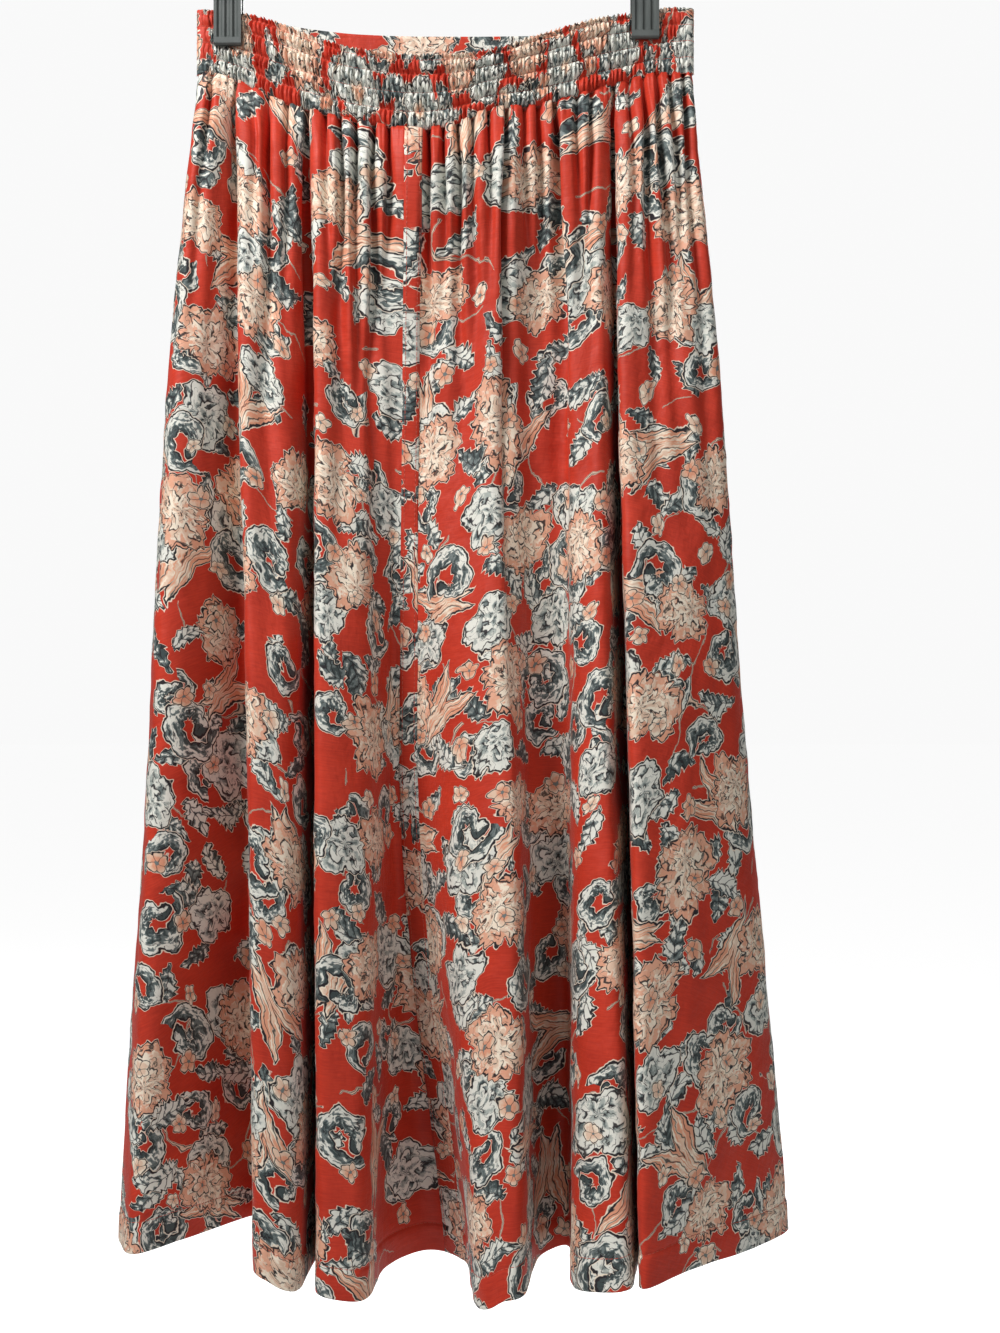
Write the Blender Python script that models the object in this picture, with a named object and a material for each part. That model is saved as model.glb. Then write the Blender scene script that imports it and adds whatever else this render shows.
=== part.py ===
"""Gathered midi skirt with a shirred front waistband, held by a plain clip hanger.

The origin is where the hook bears on a rail. X runs across, Y away from the viewer, Z up.
Sizes are written in millimetres, and the solids come out in metres.
"""
import math
from collections import namedtuple

import bmesh
import bpy
from mathutils import Vector

MM = 0.001
SEAM = 0.3
WAIST_SEAM = 0.5

# The skirt's cloth and its two bands
CLOTH_WALL = 1.2
FRONT_BAND_WALL = 1.8
BACK_BAND_WALL = 1.6
PANEL_INSET = 0.2
SIDE_LENGTH = 787
CENTRE_SHORTER = 13
HALF_WAIST = 169
WAIST_MIDDLE = 6

# The waist seam holds folds and gathers nearly flat; they swell within this share of the fall
HELD_FOLDS = 0.12
HELD_GATHERS = 0.35
SWELL_FALL = 0.045
# The cloth stays with the band's form down to this share of the fall
BAND_FALL = 0.3

# Folds are placed where they are seen from the front, at this distance and this far across
EYE_DISTANCE = 1100
EYE_ACROSS = 43

# Shirring: ruffles across the front band, in rows between stitched channels
RUFFLES = 112
SHIRR_ROWS = 4
PUFF = 1.1
RUFFLE = 0.9
STITCHED_RUFFLE = 0.15
EDGE_RUFFLE = 0.4
ROW_SLANT = (0.0, 0.55, -0.5, 0.7, -0.6, 0.45, -0.55, 0.5, 0.0)
# Ruffles fade out over this share of the band's length at each side seam
RUFFLE_FADE = 0.17
# The bands stop this part of a turn short of the side seams
BAND_END = 0.05
BAND_SAMPLES = 1500

# The strip down the centre front
PLACKET_WALL = 1.0

# The hanger
CLIP_ACROSS = 141.4
CLIP_WIDTH = 18.5
CLIP_TOP = -96
CLIP_BOTTOM = {"right": -152.6, "left": -147.9}
CLIP_GRIP = 2.9
JAW_PLATE = 2.2
JAW_RIBS = 4
RIB_RISE = 1.5
LIP_RISE = 2.1
LIP_HEIGHT = 4.8
BAR_TOP = -84
BAR_HEIGHT = 10
BAR_DEPTH = 7
BAR_HALF_LENGTH = 172
BAR_CORNER = 1.2
LUG_WIDTH = 13
LUG_BOTTOM = -124
HOOK_WIRE = 3.6
HOOK_INNER = 20
HOOK_STEM_BEND = -54
HOOK_BEND_REACH = 9
HOOK_START_ANGLE = -50
HOOK_END_ANGLE = 205
HOOK_STEPS = 20
BOSS_RADIUS = 5
BOSS_HEIGHT = 8

# Heights of the fold stations, as shares of the fall from waist seam to hem
STATIONS = (0.0, 0.25, 0.55, 1.0)

Line = namedtuple("Line", "name across depth cut")
# Fold lines of the front, side to side. Across and depth are at seam, thigh, knee and hem,
# depth is less than 0 towards the viewer, and cut is how far a corner is rounded.
FRONT_LINES = (
    Line("right_side", (-163, -185, -198, -219), (0, 6, 8, 2), 7),
    Line("fold_1_outer", (-160, -181, -193, -210), (-8, -16, -28, -46), 14),
    Line("fold_1_inner", (-146, -159, -163, -168), (-8, -9, -10, -8), 25),
    Line("hollow_1", (-135, -132, -126, -118), (3, 18, 36, 52), 12),
    Line("fold_2_outer", (-136, -136, -130, -126), (-12, -22, -48, -72), 9),
    Line("fold_2_inner", (-100, -98, -96, -94), (-10, -14, -36, -66), 13),
    Line("hollow_2", (-87, -83, -81, -78), (4, 18, 28, 26), 8),
    Line("fold_3_outer", (-84, -84, -84, -83), (-11, -22, -42, -62), 8),
    Line("fold_3_inner", (-55, -51, -48, -47), (-9, -13, -28, -56), 16),
    Line("fold_3_foot", (-38, -37, -36, -36), (-6, -1, 8, 18), 16),
    Line("hollow_3", (-29, -30, -31, -8), (-4, 5, 20, 54), 20),
    Line("placket_right", (-22, -24, -26, 7), (-5, 4, 19, 50), 6),
    Line("placket_left", (-8, -11, -11, 22), (-5, 3, 14, 30), 6),
    Line("fold_4_outer", (11, 11, 11, 26), (-9, -9, -18, -68), 12),
    Line("fold_4_inner", (46, 48, 53, 60), (-11, -20, -40, -77), 11),
    Line("fold_4_foot", (57, 60, 63, 68), (-4, 2, 3, 4), 14),
    Line("hollow_4", (79, 84, 89, 92), (-4, 4, 12, 20), 14),
    Line("fold_5_outer", (88, 90, 93, 91), (-10, -14, -28, -74), 13),
    Line("fold_5_inner", (112, 113, 118, 132), (-11, -22, -44, -98), 12),
    Line("hollow_5", (120, 124, 129, 141), (5, 18, 28, -6), 8),
    Line("fold_6_outer", (123, 123, 130, 137), (-12, -26, -60, -102), 9),
    Line("fold_6_inner", (155, 171, 184, 196), (-8, -12, -27, -50), 26),
    Line("fold_6_edge", (171, 188, 204, 230), (-3, -6, -10, -14), 14),
    Line("left_side", (175, 195, 212, 245), (0, 6, 10, 12), 7),
)

BackFold = namedtuple("BackFold", "name seam hem width out hollow")
# Folds of the back, from the left side round to the right side: middle of the fold at seam
# and hem, its width at the hem, how far it stands out there, and the hollow after it.
BACK_FOLDS = (
    BackFold("back_fold_1", 145, 186, 44, 104, 66),
    BackFold("back_fold_2", 92, 112, 38, 121, 70),
    BackFold("back_fold_3", 38, 46, 46, 113, 68),
    BackFold("back_fold_4", -16, -22, 36, 124, 71),
    BackFold("back_fold_5", -70, -88, 44, 116, 66),
    BackFold("back_fold_6", -128, -160, 46, 106, 40),
)
BACK_SWELL = (0.16, 0.42, 0.71, 1.0)
BACK_FOLD_HALF = 11
BACK_FOLD_CUT = 14
BACK_HOLLOW_CUT = 16

Gather = namedtuple("Gather", "across deep run")
# Gathers into the front waist seam: where each pinch lies, its depth, and the share of the
# skirt's length that it runs down before it fades.
FRONT_GATHERS = (
    Gather(-152, 4, 0.15),
    Gather(-135, 4, 0.20),
    Gather(-126, 4, 0.12),
    Gather(-115, 7, 0.30),
    Gather(-100, 4, 0.15),
    Gather(-87, 5, 0.20),
    Gather(-75, 4, 0.13),
    Gather(-65, 7, 0.26),
    Gather(-54, 7, 0.22),
    Gather(-42, 7, 0.26),
    Gather(-32, 5, 0.13),
    Gather(-5, 7, 0.20),
    Gather(5, 5, 0.12),
    Gather(14, 7, 0.22),
    Gather(24, 5, 0.15),
    Gather(35, 5, 0.12),
    Gather(48, 8, 0.36),
    Gather(59, 4, 0.15),
    Gather(69, 6, 0.15),
    Gather(80, 7, 0.25),
    Gather(95, 5, 0.15),
    Gather(105, 5, 0.20),
    Gather(120, 4, 0.20),
    Gather(131, 4, 0.15),
    Gather(140, 7, 0.28),
    Gather(149, 7, 0.25),
    Gather(158, 5, 0.15),
    Gather(167, 5, 0.28),
)
BACK_GATHERS = 22
BACK_GATHER_DEEP = 5.0
BACK_GATHER_RUN = 0.2
# Depth and run of the pinch at a side seam
SIDE_PINCH = (2.0, 0.1)
# How pointed a gather is, and the share of its height that lies outside the panel's form
GATHER_POINT = 0.8
GATHER_SINK = 0.5

Band = namedtuple("Band", "across front_top front_seam back_top back_seam front_gap back_gap")
# The waist from side to side: drops of its edges below the hook, and how far its inner faces
# stand in front of and behind the middle plane.
WAIST = (
    Band(-162, 128, 172, 128, 172, 0.0, 0.0),
    Band(-160.5, 128, 172, 128, 172, 2.4, 2.4),
    Band(-156.5, 128, 172, 128, 172, 2.2, 2.2),
    Band(-152.5, 128, 172, 128, 172, 0.5, 0.9),
    Band(-128, 131, 180, 130, 174, 0.5, 0.9),
    Band(-112, 136, 189, 134, 177, 3.5, 2.2),
    Band(-87, 147, 198, 138, 181, 8.0, 4.0),
    Band(-52, 159, 208, 141, 186, 13.0, 6.0),
    Band(-10, 164, 214, 142, 188, 16.0, 7.0),
    Band(20, 163, 208, 142, 188, 16.0, 7.0),
    Band(34, 161, 201, 142, 188, 15.5, 7.0),
    Band(63, 151, 197, 142, 186, 12.0, 6.0),
    Band(90, 141, 190, 140, 182, 7.0, 4.0),
    Band(112, 134, 182, 135, 177, 3.5, 2.2),
    Band(128, 131, 177, 130, 174, 0.5, 0.9),
    Band(152.5, 127, 172, 127, 171, 0.5, 0.9),
    Band(159, 127, 172, 127, 171, 2.4, 2.4),
    Band(172, 127, 171, 127, 171, 2.6, 2.6),
    Band(174, 127, 171, 127, 171, 0.0, 0.0),
)
BAND_CUT = 9

# Rows of the cloth mesh, as shares of the fall, and where its columns fall in each gather
ROWS = (0.0, 0.02, 0.055, 0.11, 0.18, 0.27, 0.40, 0.56, 0.72, 0.87, 1.0)
FRONT_COLUMNS = (0.0, 0.3, 0.7)
BACK_COLUMNS = (0.0, 0.5)
NEAREST_COLUMNS = 0.07
CORNER_COLUMN = 0.12
# Steps in turn and in fall for reading which way the cloth faces
TURN_STEP = 0.03
FALL_STEP = 0.01


def ease(edge, value):
    """Rise smoothly from 0 to 1 while value goes from 0 to edge."""
    share = min(max(value / edge, 0.0), 1.0)
    return share * share * (3.0 - 2.0 * share)


def through(knots, values, at):
    """Read a smooth curve that passes the values at the knots and never overshoots them."""
    last = len(knots) - 1
    at = min(max(at, knots[0]), knots[last])
    cell = next(i for i in range(last) if at <= knots[i + 1])
    rise = [(values[i + 1] - values[i]) / (knots[i + 1] - knots[i]) for i in range(last)]

    def slope(knot):
        if knot in (0, last):
            return rise[min(knot, last - 1)]
        before, after = rise[knot - 1], rise[knot]
        return 0.0 if before * after <= 0 else 2 * before * after / (before + after)

    width = knots[cell + 1] - knots[cell]
    share = (at - knots[cell]) / width
    rest = 1.0 - share
    return (
        values[cell] * (1 + 2 * share) * rest ** 2
        + slope(cell) * width * share * rest ** 2
        + values[cell + 1] * (3 - 2 * share) * share ** 2
        - slope(cell + 1) * width * rest * share ** 2
    )


def waist(column, across):
    """Read one column of the waist table at any place across."""
    return through([row.across for row in WAIST], [getattr(row, column) for row in WAIST], across)


class Loop:
    """A closed run of corners, each rounded, walked by turn: corner 0 is at 0, the next at 1."""

    def __init__(self, corners, cuts):
        self.spans = []
        count = len(corners)
        entry, middle, leave = [], [], []
        for i, corner in enumerate(corners):
            back = corners[i - 1] - corner
            ahead = corners[(i + 1) % count] - corner
            cut = min(cuts[i], 0.45 * back.length, 0.45 * ahead.length)
            entry.append(corner + back.normalized() * cut)
            leave.append(corner + ahead.normalized() * cut)
            middle.append(entry[i] * 0.25 + corner * 0.5 + leave[i] * 0.25)
        for i in range(count):
            after = (i + 1) % count
            path = self.arc(entry[i], corners[i], leave[i], 0.5, 1.0)
            path += self.arc(entry[after], corners[after], leave[after], 0.0, 0.5)
            lengths = [0.0]
            for near, far in zip(path, path[1:]):
                lengths.append(lengths[-1] + (far - near).length)
            self.spans.append((path, lengths))

    @staticmethod
    def arc(start, corner, end, low, high, steps=6):
        """Points of a rounded corner, from share low to share high of it."""
        points = []
        for step in range(steps + 1):
            share = low + (high - low) * step / steps
            rest = 1.0 - share
            points.append(start * rest ** 2 + corner * 2 * rest * share + end * share ** 2)
        return points

    def at(self, turn):
        """Point at a turn, spaced evenly by length between corners."""
        whole = math.floor(turn)
        path, lengths = self.spans[whole % len(self.spans)]
        goal = (turn - whole) * lengths[-1]
        for i in range(len(path) - 1):
            if goal <= lengths[i + 1] and lengths[i + 1] > lengths[i]:
                share = (goal - lengths[i]) / (lengths[i + 1] - lengths[i])
                return path[i].lerp(path[i + 1], share)
        return path[-1]

    def outward(self, turn, step=0.02):
        """Unit direction out of the loop at a turn. The loop runs front first, left to right."""
        along = self.at(turn + step) - self.at(turn - step)
        return Vector((along.y, -along.x)).normalized()


def back_lines():
    """Fold lines of the back, two edges and a hollow for each fold."""
    lines = [Line("back_left_edge", (171, 190, 206, 233), (3, 22, 36, 46), 14)]
    for i, fold in enumerate(BACK_FOLDS):
        across = [through((0, 1), (fold.seam, fold.hem), station) for station in STATIONS]
        half = [through((0, 1), (BACK_FOLD_HALF, fold.width / 2), station) for station in STATIONS]
        out = [fold.out * swell for swell in BACK_SWELL]
        left = [a + h for a, h in zip(across, half)]
        right = [a - h for a, h in zip(across, half)]
        lines.append(Line(fold.name + "_left", left, out, BACK_FOLD_CUT))
        lines.append(Line(fold.name + "_right", right, out, BACK_FOLD_CUT))
        if i + 1 < len(BACK_FOLDS):
            next_fold = BACK_FOLDS[i + 1]
            seam = (fold.seam + next_fold.seam) / 2
            hem = (fold.hem + next_fold.hem) / 2
            across = [through((0, 1), (seam, hem), station) for station in STATIONS]
            hollow = [fold.hollow * swell for swell in BACK_SWELL]
            lines.append(Line("back_hollow_%d" % (i + 1), across, hollow, BACK_HOLLOW_CUT))
    lines.append(Line("back_right_edge", (-159, -180, -192, -206), (3, 22, 36, 46), 14))
    return tuple(lines)


LINES = FRONT_LINES + back_lines()
LEFT_TURN = len(FRONT_LINES) - 1
WHOLE_TURN = len(LINES)
LINE_TURN = {line.name: turn for turn, line in enumerate(LINES)}
PLACKET_START = LINE_TURN["placket_right"]
PLACKET_END = LINE_TURN["placket_left"]


def skirt_corner(turn, fall):
    """One corner of the skirt's section at a height."""
    line = LINES[turn]
    across = through(STATIONS, line.across, fall)
    swell = HELD_FOLDS + (1.0 - HELD_FOLDS) * ease(SWELL_FALL, fall)
    depth = through(STATIONS, line.depth, fall) * swell
    let_go = 1.0 - ease(BAND_FALL, fall)
    if turn in (0, LEFT_TURN):
        return Vector((across, depth))
    if turn < LEFT_TURN:
        depth -= (waist("front_gap", line.across[0]) + FRONT_BAND_WALL) * let_go
        across = EYE_ACROSS + (across - EYE_ACROSS) * (EYE_DISTANCE + depth) / EYE_DISTANCE
        return Vector((across, depth))
    return Vector((across, depth + (waist("back_gap", line.across[0]) + BACK_BAND_WALL) * let_go))


LOOPS = {}


def skirt_loop(fall):
    """The skirt's section at a height, kept once it is made."""
    key = round(fall, 5)
    if key not in LOOPS:
        corners = [skirt_corner(turn, key) for turn in range(WHOLE_TURN)]
        LOOPS[key] = Loop(corners, [line.cut for line in LINES])
    return LOOPS[key]


def seam_turn(across, first, last, step=0.01):
    """Turn at which the section at the seam first reaches a place across."""
    loop = skirt_loop(0.0)
    heading = 1 if last <= LEFT_TURN else -1
    turn = first
    while turn < last and (loop.at(turn).x - across) * heading < 0:
        turn += step
    return turn


def gather_turns():
    """Every gather round the waist as (turn, depth, run), with the side seams as its ends."""
    rows = [(0.0, *SIDE_PINCH)]
    for gather in FRONT_GATHERS:
        rows.append((seam_turn(gather.across, 0.0, LEFT_TURN), gather.deep, gather.run))
    rows.append((float(LEFT_TURN), *SIDE_PINCH))
    width = 2 * HALF_WAIST / (BACK_GATHERS + 1)
    for i in range(BACK_GATHERS):
        # Waves of unlike length make place, depth and run uneven
        uneven = math.sin(i * 2.4) + 0.6 * math.sin(i * 5.1)
        across = WAIST_MIDDLE + HALF_WAIST - (i + 1 + 0.16 * uneven) * width
        deep = BACK_GATHER_DEEP * (1 + 0.24 * math.sin(i * 3.7))
        run = BACK_GATHER_RUN * (1 + 0.35 * math.sin(i * 1.9))
        rows.append((seam_turn(across, LEFT_TURN, WHOLE_TURN), deep, run))
    rows.append((float(WHOLE_TURN), *SIDE_PINCH))
    return rows


GATHERS = gather_turns()


def gather_height(turn, fall):
    """How far a gather lifts or sinks the cloth, fading down the skirt."""
    turn %= WHOLE_TURN
    cell = next(i for i in range(len(GATHERS) - 1) if turn <= GATHERS[i + 1][0])
    (start, deep_a, run_a), (end, deep_b, run_b) = GATHERS[cell], GATHERS[cell + 1]
    share = (turn - start) / (end - start)
    depth_a = deep_a * (1.0 - ease(1.0, fall / run_a))
    depth_b = deep_b * (1.0 - ease(1.0, fall / run_b))
    swell = HELD_GATHERS + (1.0 - HELD_GATHERS) * ease(SWELL_FALL, fall)
    depth = (depth_a * (1 - share) + depth_b * share) * swell
    return depth * (math.sin(math.pi * share) ** GATHER_POINT - GATHER_SINK)


def on_front(turn):
    """Whether a turn is on the front of the skirt."""
    return turn % WHOLE_TURN < LEFT_TURN


def seam_drop(turn, across):
    """How far below the hook the skirt's top edge is, just under its band."""
    return waist("front_seam" if on_front(turn) else "back_seam", across) + WAIST_SEAM


def drop(turn, fall):
    """How far below the hook the cloth is."""
    across = skirt_loop(0.0).at(turn).x
    bow = math.cos(math.pi / 2 * min(abs(across - WAIST_MIDDLE) / HALF_WAIST, 1.0))
    length = SIDE_LENGTH - (CENTRE_SHORTER * bow if on_front(turn) else 0.0)
    return seam_drop(turn, across) + length * fall


def on_skirt(turn, fall):
    """Point of the skirt's outer face."""
    loop = skirt_loop(fall)
    flat = loop.at(turn) + loop.outward(turn) * gather_height(turn, fall)
    return Vector((flat.x, flat.y, -drop(turn, fall)))


def skirt_place(turn, fall, out=0.0):
    """Point at a distance out from the skirt's outer face, in metres."""
    here = on_skirt(turn, fall)
    across = on_skirt(turn + TURN_STEP, fall) - on_skirt(turn - TURN_STEP, fall)
    low, high = max(fall - FALL_STEP, 0.0), min(fall + FALL_STEP, 1.0)
    down = on_skirt(turn, high) - on_skirt(turn, low)
    here += down.cross(across).normalized() * out
    if fall == 0.0:
        here.z = -seam_drop(turn, here.x)
    return here * MM


def skirt_columns(first, last, shares):
    """Turns for the columns of a panel: along each gather, and round each fold's corner."""
    turns = {first, last}
    for (start, *_), (end, *_) in zip(GATHERS, GATHERS[1:]):
        turns |= {start + (end - start) * share for share in shares}
    for turn in range(WHOLE_TURN):
        turns |= {turn - CORNER_COLUMN, turn + CORNER_COLUMN, turn + 0.5}
    # The placket's edges are columns of the panels too, so that it can lie on them
    edges = [turn for turn in (PLACKET_START, PLACKET_END) if first < turn < last]
    chosen = [first]
    for turn in sorted(turns):
        near = min((abs(turn - edge) for edge in edges), default=1.0)
        if chosen[-1] + NEAREST_COLUMNS < turn < last - NEAREST_COLUMNS and near > NEAREST_COLUMNS:
            chosen.append(turn)
    return sorted(chosen + edges) + [last]


def material(name, color, roughness, metallic=0.0):
    """A plain finish for one kind of piece."""
    finish = bpy.data.materials.new(name)
    finish.use_nodes = True
    shader = finish.node_tree.nodes["Principled BSDF"]
    shader.inputs["Base Color"].default_value = (*color, 1.0)
    shader.inputs["Roughness"].default_value = roughness
    shader.inputs["Metallic"].default_value = metallic
    return finish


def add_object(name, shape, finish, smooth_angle):
    """Turn a bmesh into a named object, with its faces turned out."""
    bmesh.ops.recalc_face_normals(shape, faces=shape.faces)
    if shape.calc_volume(signed=True) < 0:
        bmesh.ops.reverse_faces(shape, faces=shape.faces)
    mesh = bpy.data.meshes.new(name)
    shape.to_mesh(mesh)
    shape.free()
    mesh.materials.append(finish)
    mesh.shade_smooth()
    mesh.set_sharp_from_angle(angle=math.radians(smooth_angle))
    piece = bpy.data.objects.new(name, mesh)
    bpy.context.scene.collection.objects.link(piece)
    return piece


def wrap_slab(name, columns, rows, place, finish, smooth_angle=50):
    """Bend a flat slab into a wall: place(column, row, face) gives the point of each face.

    Face 0 is the slab's first face and face 1 its second, a wall's thickness away.
    """
    shape = bmesh.new()
    across, down = len(columns) - 1, len(rows) - 1
    bmesh.ops.create_grid(shape, x_segments=across, y_segments=down, size=0.5)
    doubled = bmesh.ops.extrude_face_region(shape, geom=shape.faces[:], use_keep_orig=True)
    second = [item for item in doubled["geom"] if isinstance(item, bmesh.types.BMVert)]
    bmesh.ops.translate(shape, verts=second, vec=(0, 0, 1))
    for vert in shape.verts:
        column = columns[round((vert.co.x + 0.5) * across)]
        row = rows[round((vert.co.y + 0.5) * down)]
        vert.co = place(column, row, round(vert.co.z))
    return add_object(name, shape, finish, smooth_angle)


def inset_turn(turn, fall, inset):
    """Turn that lies an inset in millimetres further round the loop, at this height."""
    loop = skirt_loop(fall)
    step = 0.01
    way = math.copysign(step, inset)
    return turn + way * abs(inset) / (loop.at(turn + way) - loop.at(turn)).length


def skirt_panel(name, first, last, shares, finish):
    """One panel of the skirt, a wall of cloth that stops half a gap short of each seam."""
    def place(turn, fall, face):
        if turn == first:
            turn = inset_turn(turn, fall, PANEL_INSET)
        if turn == last:
            turn = inset_turn(turn, fall, -PANEL_INSET)
        return skirt_place(turn, fall, -CLOTH_WALL if face else 0.0)

    wrap_slab(name, skirt_columns(first, last, shares), ROWS, place, finish)


def build_skirt(finish):
    """Two front panels that meet under the placket, the back and the placket strip."""
    middle = (PLACKET_START + PLACKET_END) / 2
    skirt_panel("skirt_front_right", 0, middle, FRONT_COLUMNS, finish)
    skirt_panel("skirt_front_left", middle, LEFT_TURN, FRONT_COLUMNS, finish)
    skirt_panel("skirt_back", LEFT_TURN, WHOLE_TURN, BACK_COLUMNS, finish)

    def on_strip(turn, fall, face):
        return skirt_place(turn, fall, SEAM + PLACKET_WALL * face)

    right = skirt_columns(0, middle, FRONT_COLUMNS)
    left = skirt_columns(middle, LEFT_TURN, FRONT_COLUMNS)
    columns = [turn for turn in right + left[1:] if PLACKET_START <= turn <= PLACKET_END]
    wrap_slab("front_placket", columns, ROWS, on_strip, finish)


def waist_loop():
    """Inner face of the waist, front first and then back round."""
    front = [Vector((row.across, -row.front_gap)) for row in WAIST]
    back = [Vector((row.across, row.back_gap)) for row in reversed(WAIST[1:-1])]
    return Loop(front + back, [BAND_CUT] * (len(front) + len(back)))


def clip_squeeze(across, below):
    """How far the band's puffs are free: 0 under a clip, 1 clear of it."""
    free = 1.0
    for side, bottom in (("right", -1), ("left", 1)):
        aside = abs(across - bottom * CLIP_ACROSS) - CLIP_WIDTH / 2
        under = below + CLIP_BOTTOM[side]
        free = min(free, ease(4.0, max(aside, under)))
    return free


def build_front_band(finish):
    """Shirred band: rows of ruffles raised on its outer face over a plain inside."""
    loop = waist_loop()
    last = len(WAIST) - 1 - 2 * BAND_END
    count = 2 * RUFFLES
    samples = [BAND_END + last * i / BAND_SAMPLES for i in range(BAND_SAMPLES + 1)]
    lengths = [0.0]
    for near, far in zip(samples, samples[1:]):
        lengths.append(lengths[-1] + (loop.at(far) - loop.at(near)).length)

    def turn_at(share):
        return through_samples(samples, lengths, share * lengths[-1])

    levels = 2 * SHIRR_ROWS + 1
    pitch = 1.0 / count

    def place(column, level):
        share = column * pitch
        inside = level >= levels
        row = level if not inside else (levels - 1 if level == levels else 0)
        away = min(1.0, share / RUFFLE_FADE, (1.0 - share) / RUFFLE_FADE)
        slant = 0.0 if inside else ROW_SLANT[row] * pitch * away
        turn = turn_at(share + slant)
        spot = loop.at(turn)
        top, seam = waist("front_top", spot.x), waist("front_seam", spot.x)
        below = seam + (top - seam) * row / (levels - 1)
        out = 0.0
        if not inside:
            stitched = row % 2 == 0
            wave = 1.0 if column % 2 else -1.0
            puff = STITCHED_RUFFLE * wave if stitched else PUFF + RUFFLE * wave
            if row in (0, levels - 1):
                puff = EDGE_RUFFLE * (1 + wave)
            out = FRONT_BAND_WALL + puff * clip_squeeze(spot.x, below) * away
        flat = spot + loop.outward(turn) * out
        return Vector((flat.x, flat.y, -below)) * MM

    shape = bmesh.new()
    section = levels + 2
    bmesh.ops.create_grid(shape, x_segments=count, y_segments=section, size=0.5)
    for vert in shape.verts:
        column = round((vert.co.x + 0.5) * count)
        level = round((vert.co.y + 0.5) * section) % section
        vert.co = place(column, level)
    bmesh.ops.remove_doubles(shape, verts=shape.verts, dist=0.00001)
    bmesh.ops.holes_fill(shape, edges=shape.edges, sides=0)
    add_object("waistband_front", shape, finish, 70)


def through_samples(values, lengths, goal):
    """Read evenly walked samples at a length."""
    low, high = 0, len(lengths) - 1
    while high - low > 1:
        middle = (low + high) // 2
        if lengths[middle] <= goal:
            low = middle
        else:
            high = middle
    share = (goal - lengths[low]) / (lengths[high] - lengths[low])
    return values[low] + (values[high] - values[low]) * share


def build_back_band(finish):
    """Smooth band behind, as the view over the front edge shows it."""
    loop = waist_loop()
    first = len(WAIST) - 1
    last = len(loop.spans)
    columns = [first + BAND_END]
    columns += [first + i / 2 for i in range(1, 2 * (last - first))]
    columns.append(last - BAND_END)

    def place(turn, row, face):
        spot = loop.at(turn)
        below = waist("back_top" if row else "back_seam", spot.x)
        flat = spot + loop.outward(turn) * (BACK_BAND_WALL * face)
        return Vector((flat.x, flat.y, -below)) * MM

    wrap_slab("waistband_back", columns, (0, 1), place, finish)


def build_jaw(name, across, bottom, facing, finish):
    """One ribbed jaw of a clip. Facing is -1 in front of the band and 1 behind it."""
    rib = CLIP_WIDTH / (2 * JAW_RIBS - 1)
    slope = rib / 4
    columns = []
    for i in range(JAW_RIBS):
        start = -CLIP_WIDTH / 2 + 2 * rib * i
        foot_in = 0 if i == 0 else -slope
        foot_out = 0 if i == JAW_RIBS - 1 else slope
        columns.append((start + foot_in, 0 if foot_in else 1))
        columns += [(start + slope, 1), (start + rib - slope, 1)]
        columns.append((start + rib + foot_out, 0 if foot_out else 1))
    lip_top = bottom + LIP_HEIGHT
    rows = ((bottom, 0.5), (bottom + 1, 1.0), (lip_top, 1.0), (lip_top + 1, 0), (CLIP_TOP, 0))

    def place(column, row, face):
        aside, raised = column
        height, lip = row
        out = CLIP_GRIP
        if face:
            out += JAW_PLATE + (LIP_RISE * lip if lip else RIB_RISE * raised)
        return Vector((across + aside, facing * out, height)) * MM

    wrap_slab(name, columns, rows, place, finish, 30)


def build_bar(finish):
    """Moulded bar with a lug for each clip and a boss for the hook, one body."""
    half_depth = BAR_DEPTH / 2
    half_lug = LUG_WIDTH / 2
    clear = CLIP_GRIP - SEAM
    under = BAR_TOP - BAR_HEIGHT
    shape = bmesh.new()
    stops = [-BAR_HALF_LENGTH]
    for middle, half in ((-CLIP_ACROSS, half_lug), (0, BOSS_RADIUS), (CLIP_ACROSS, half_lug)):
        stops += [middle - half, middle + half]
    stops.append(BAR_HALF_LENGTH)
    profile = [
        (-clear, under),
        (clear, under),
        (half_depth, under + BAR_CORNER),
        (half_depth, BAR_TOP - BAR_CORNER),
        (clear, BAR_TOP),
        (-clear, BAR_TOP),
        (-half_depth, BAR_TOP - BAR_CORNER),
        (-half_depth, under + BAR_CORNER),
    ]
    ring = [shape.verts.new(Vector((stops[0], y, z)) * MM) for y, z in profile]
    edges = [shape.edges.new((ring[i], ring[(i + 1) % len(ring)])) for i in range(len(ring))]
    shape.faces.new(ring)
    under_faces, top_faces = [], []
    for near, far in zip(stops, stops[1:]):
        made = bmesh.ops.extrude_edge_only(shape, edges=edges)["geom"]
        verts = [item for item in made if isinstance(item, bmesh.types.BMVert)]
        bmesh.ops.translate(shape, verts=verts, vec=((far - near) * MM, 0, 0))
        edges = [edge for edge in made if isinstance(edge, bmesh.types.BMEdge)
                 and abs(edge.verts[0].co.x - edge.verts[1].co.x) < 1e-7]
    bmesh.ops.holes_fill(shape, edges=shape.edges, sides=0)
    shape.faces.ensure_lookup_table()
    for face in shape.faces:
        middle = face.calc_center_median() / MM
        flat = max(vert.co.z for vert in face.verts) - min(vert.co.z for vert in face.verts) < 1e-7
        if flat and abs(abs(middle.x) - CLIP_ACROSS) < 1 and middle.z < under + BAR_CORNER:
            under_faces.append(face)
        if flat and abs(middle.x) < 1 and middle.z > BAR_TOP - BAR_CORNER:
            top_faces.append(face)
    for faces, rise in ((under_faces, LUG_BOTTOM - under), (top_faces, BOSS_HEIGHT)):
        for face in faces:
            grown = bmesh.ops.extrude_discrete_faces(shape, faces=[face])["faces"][0]
            bmesh.ops.translate(shape, verts=grown.verts, vec=(0, 0, rise * MM))
    add_object("hanger_bar", shape, finish, 35)


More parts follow.
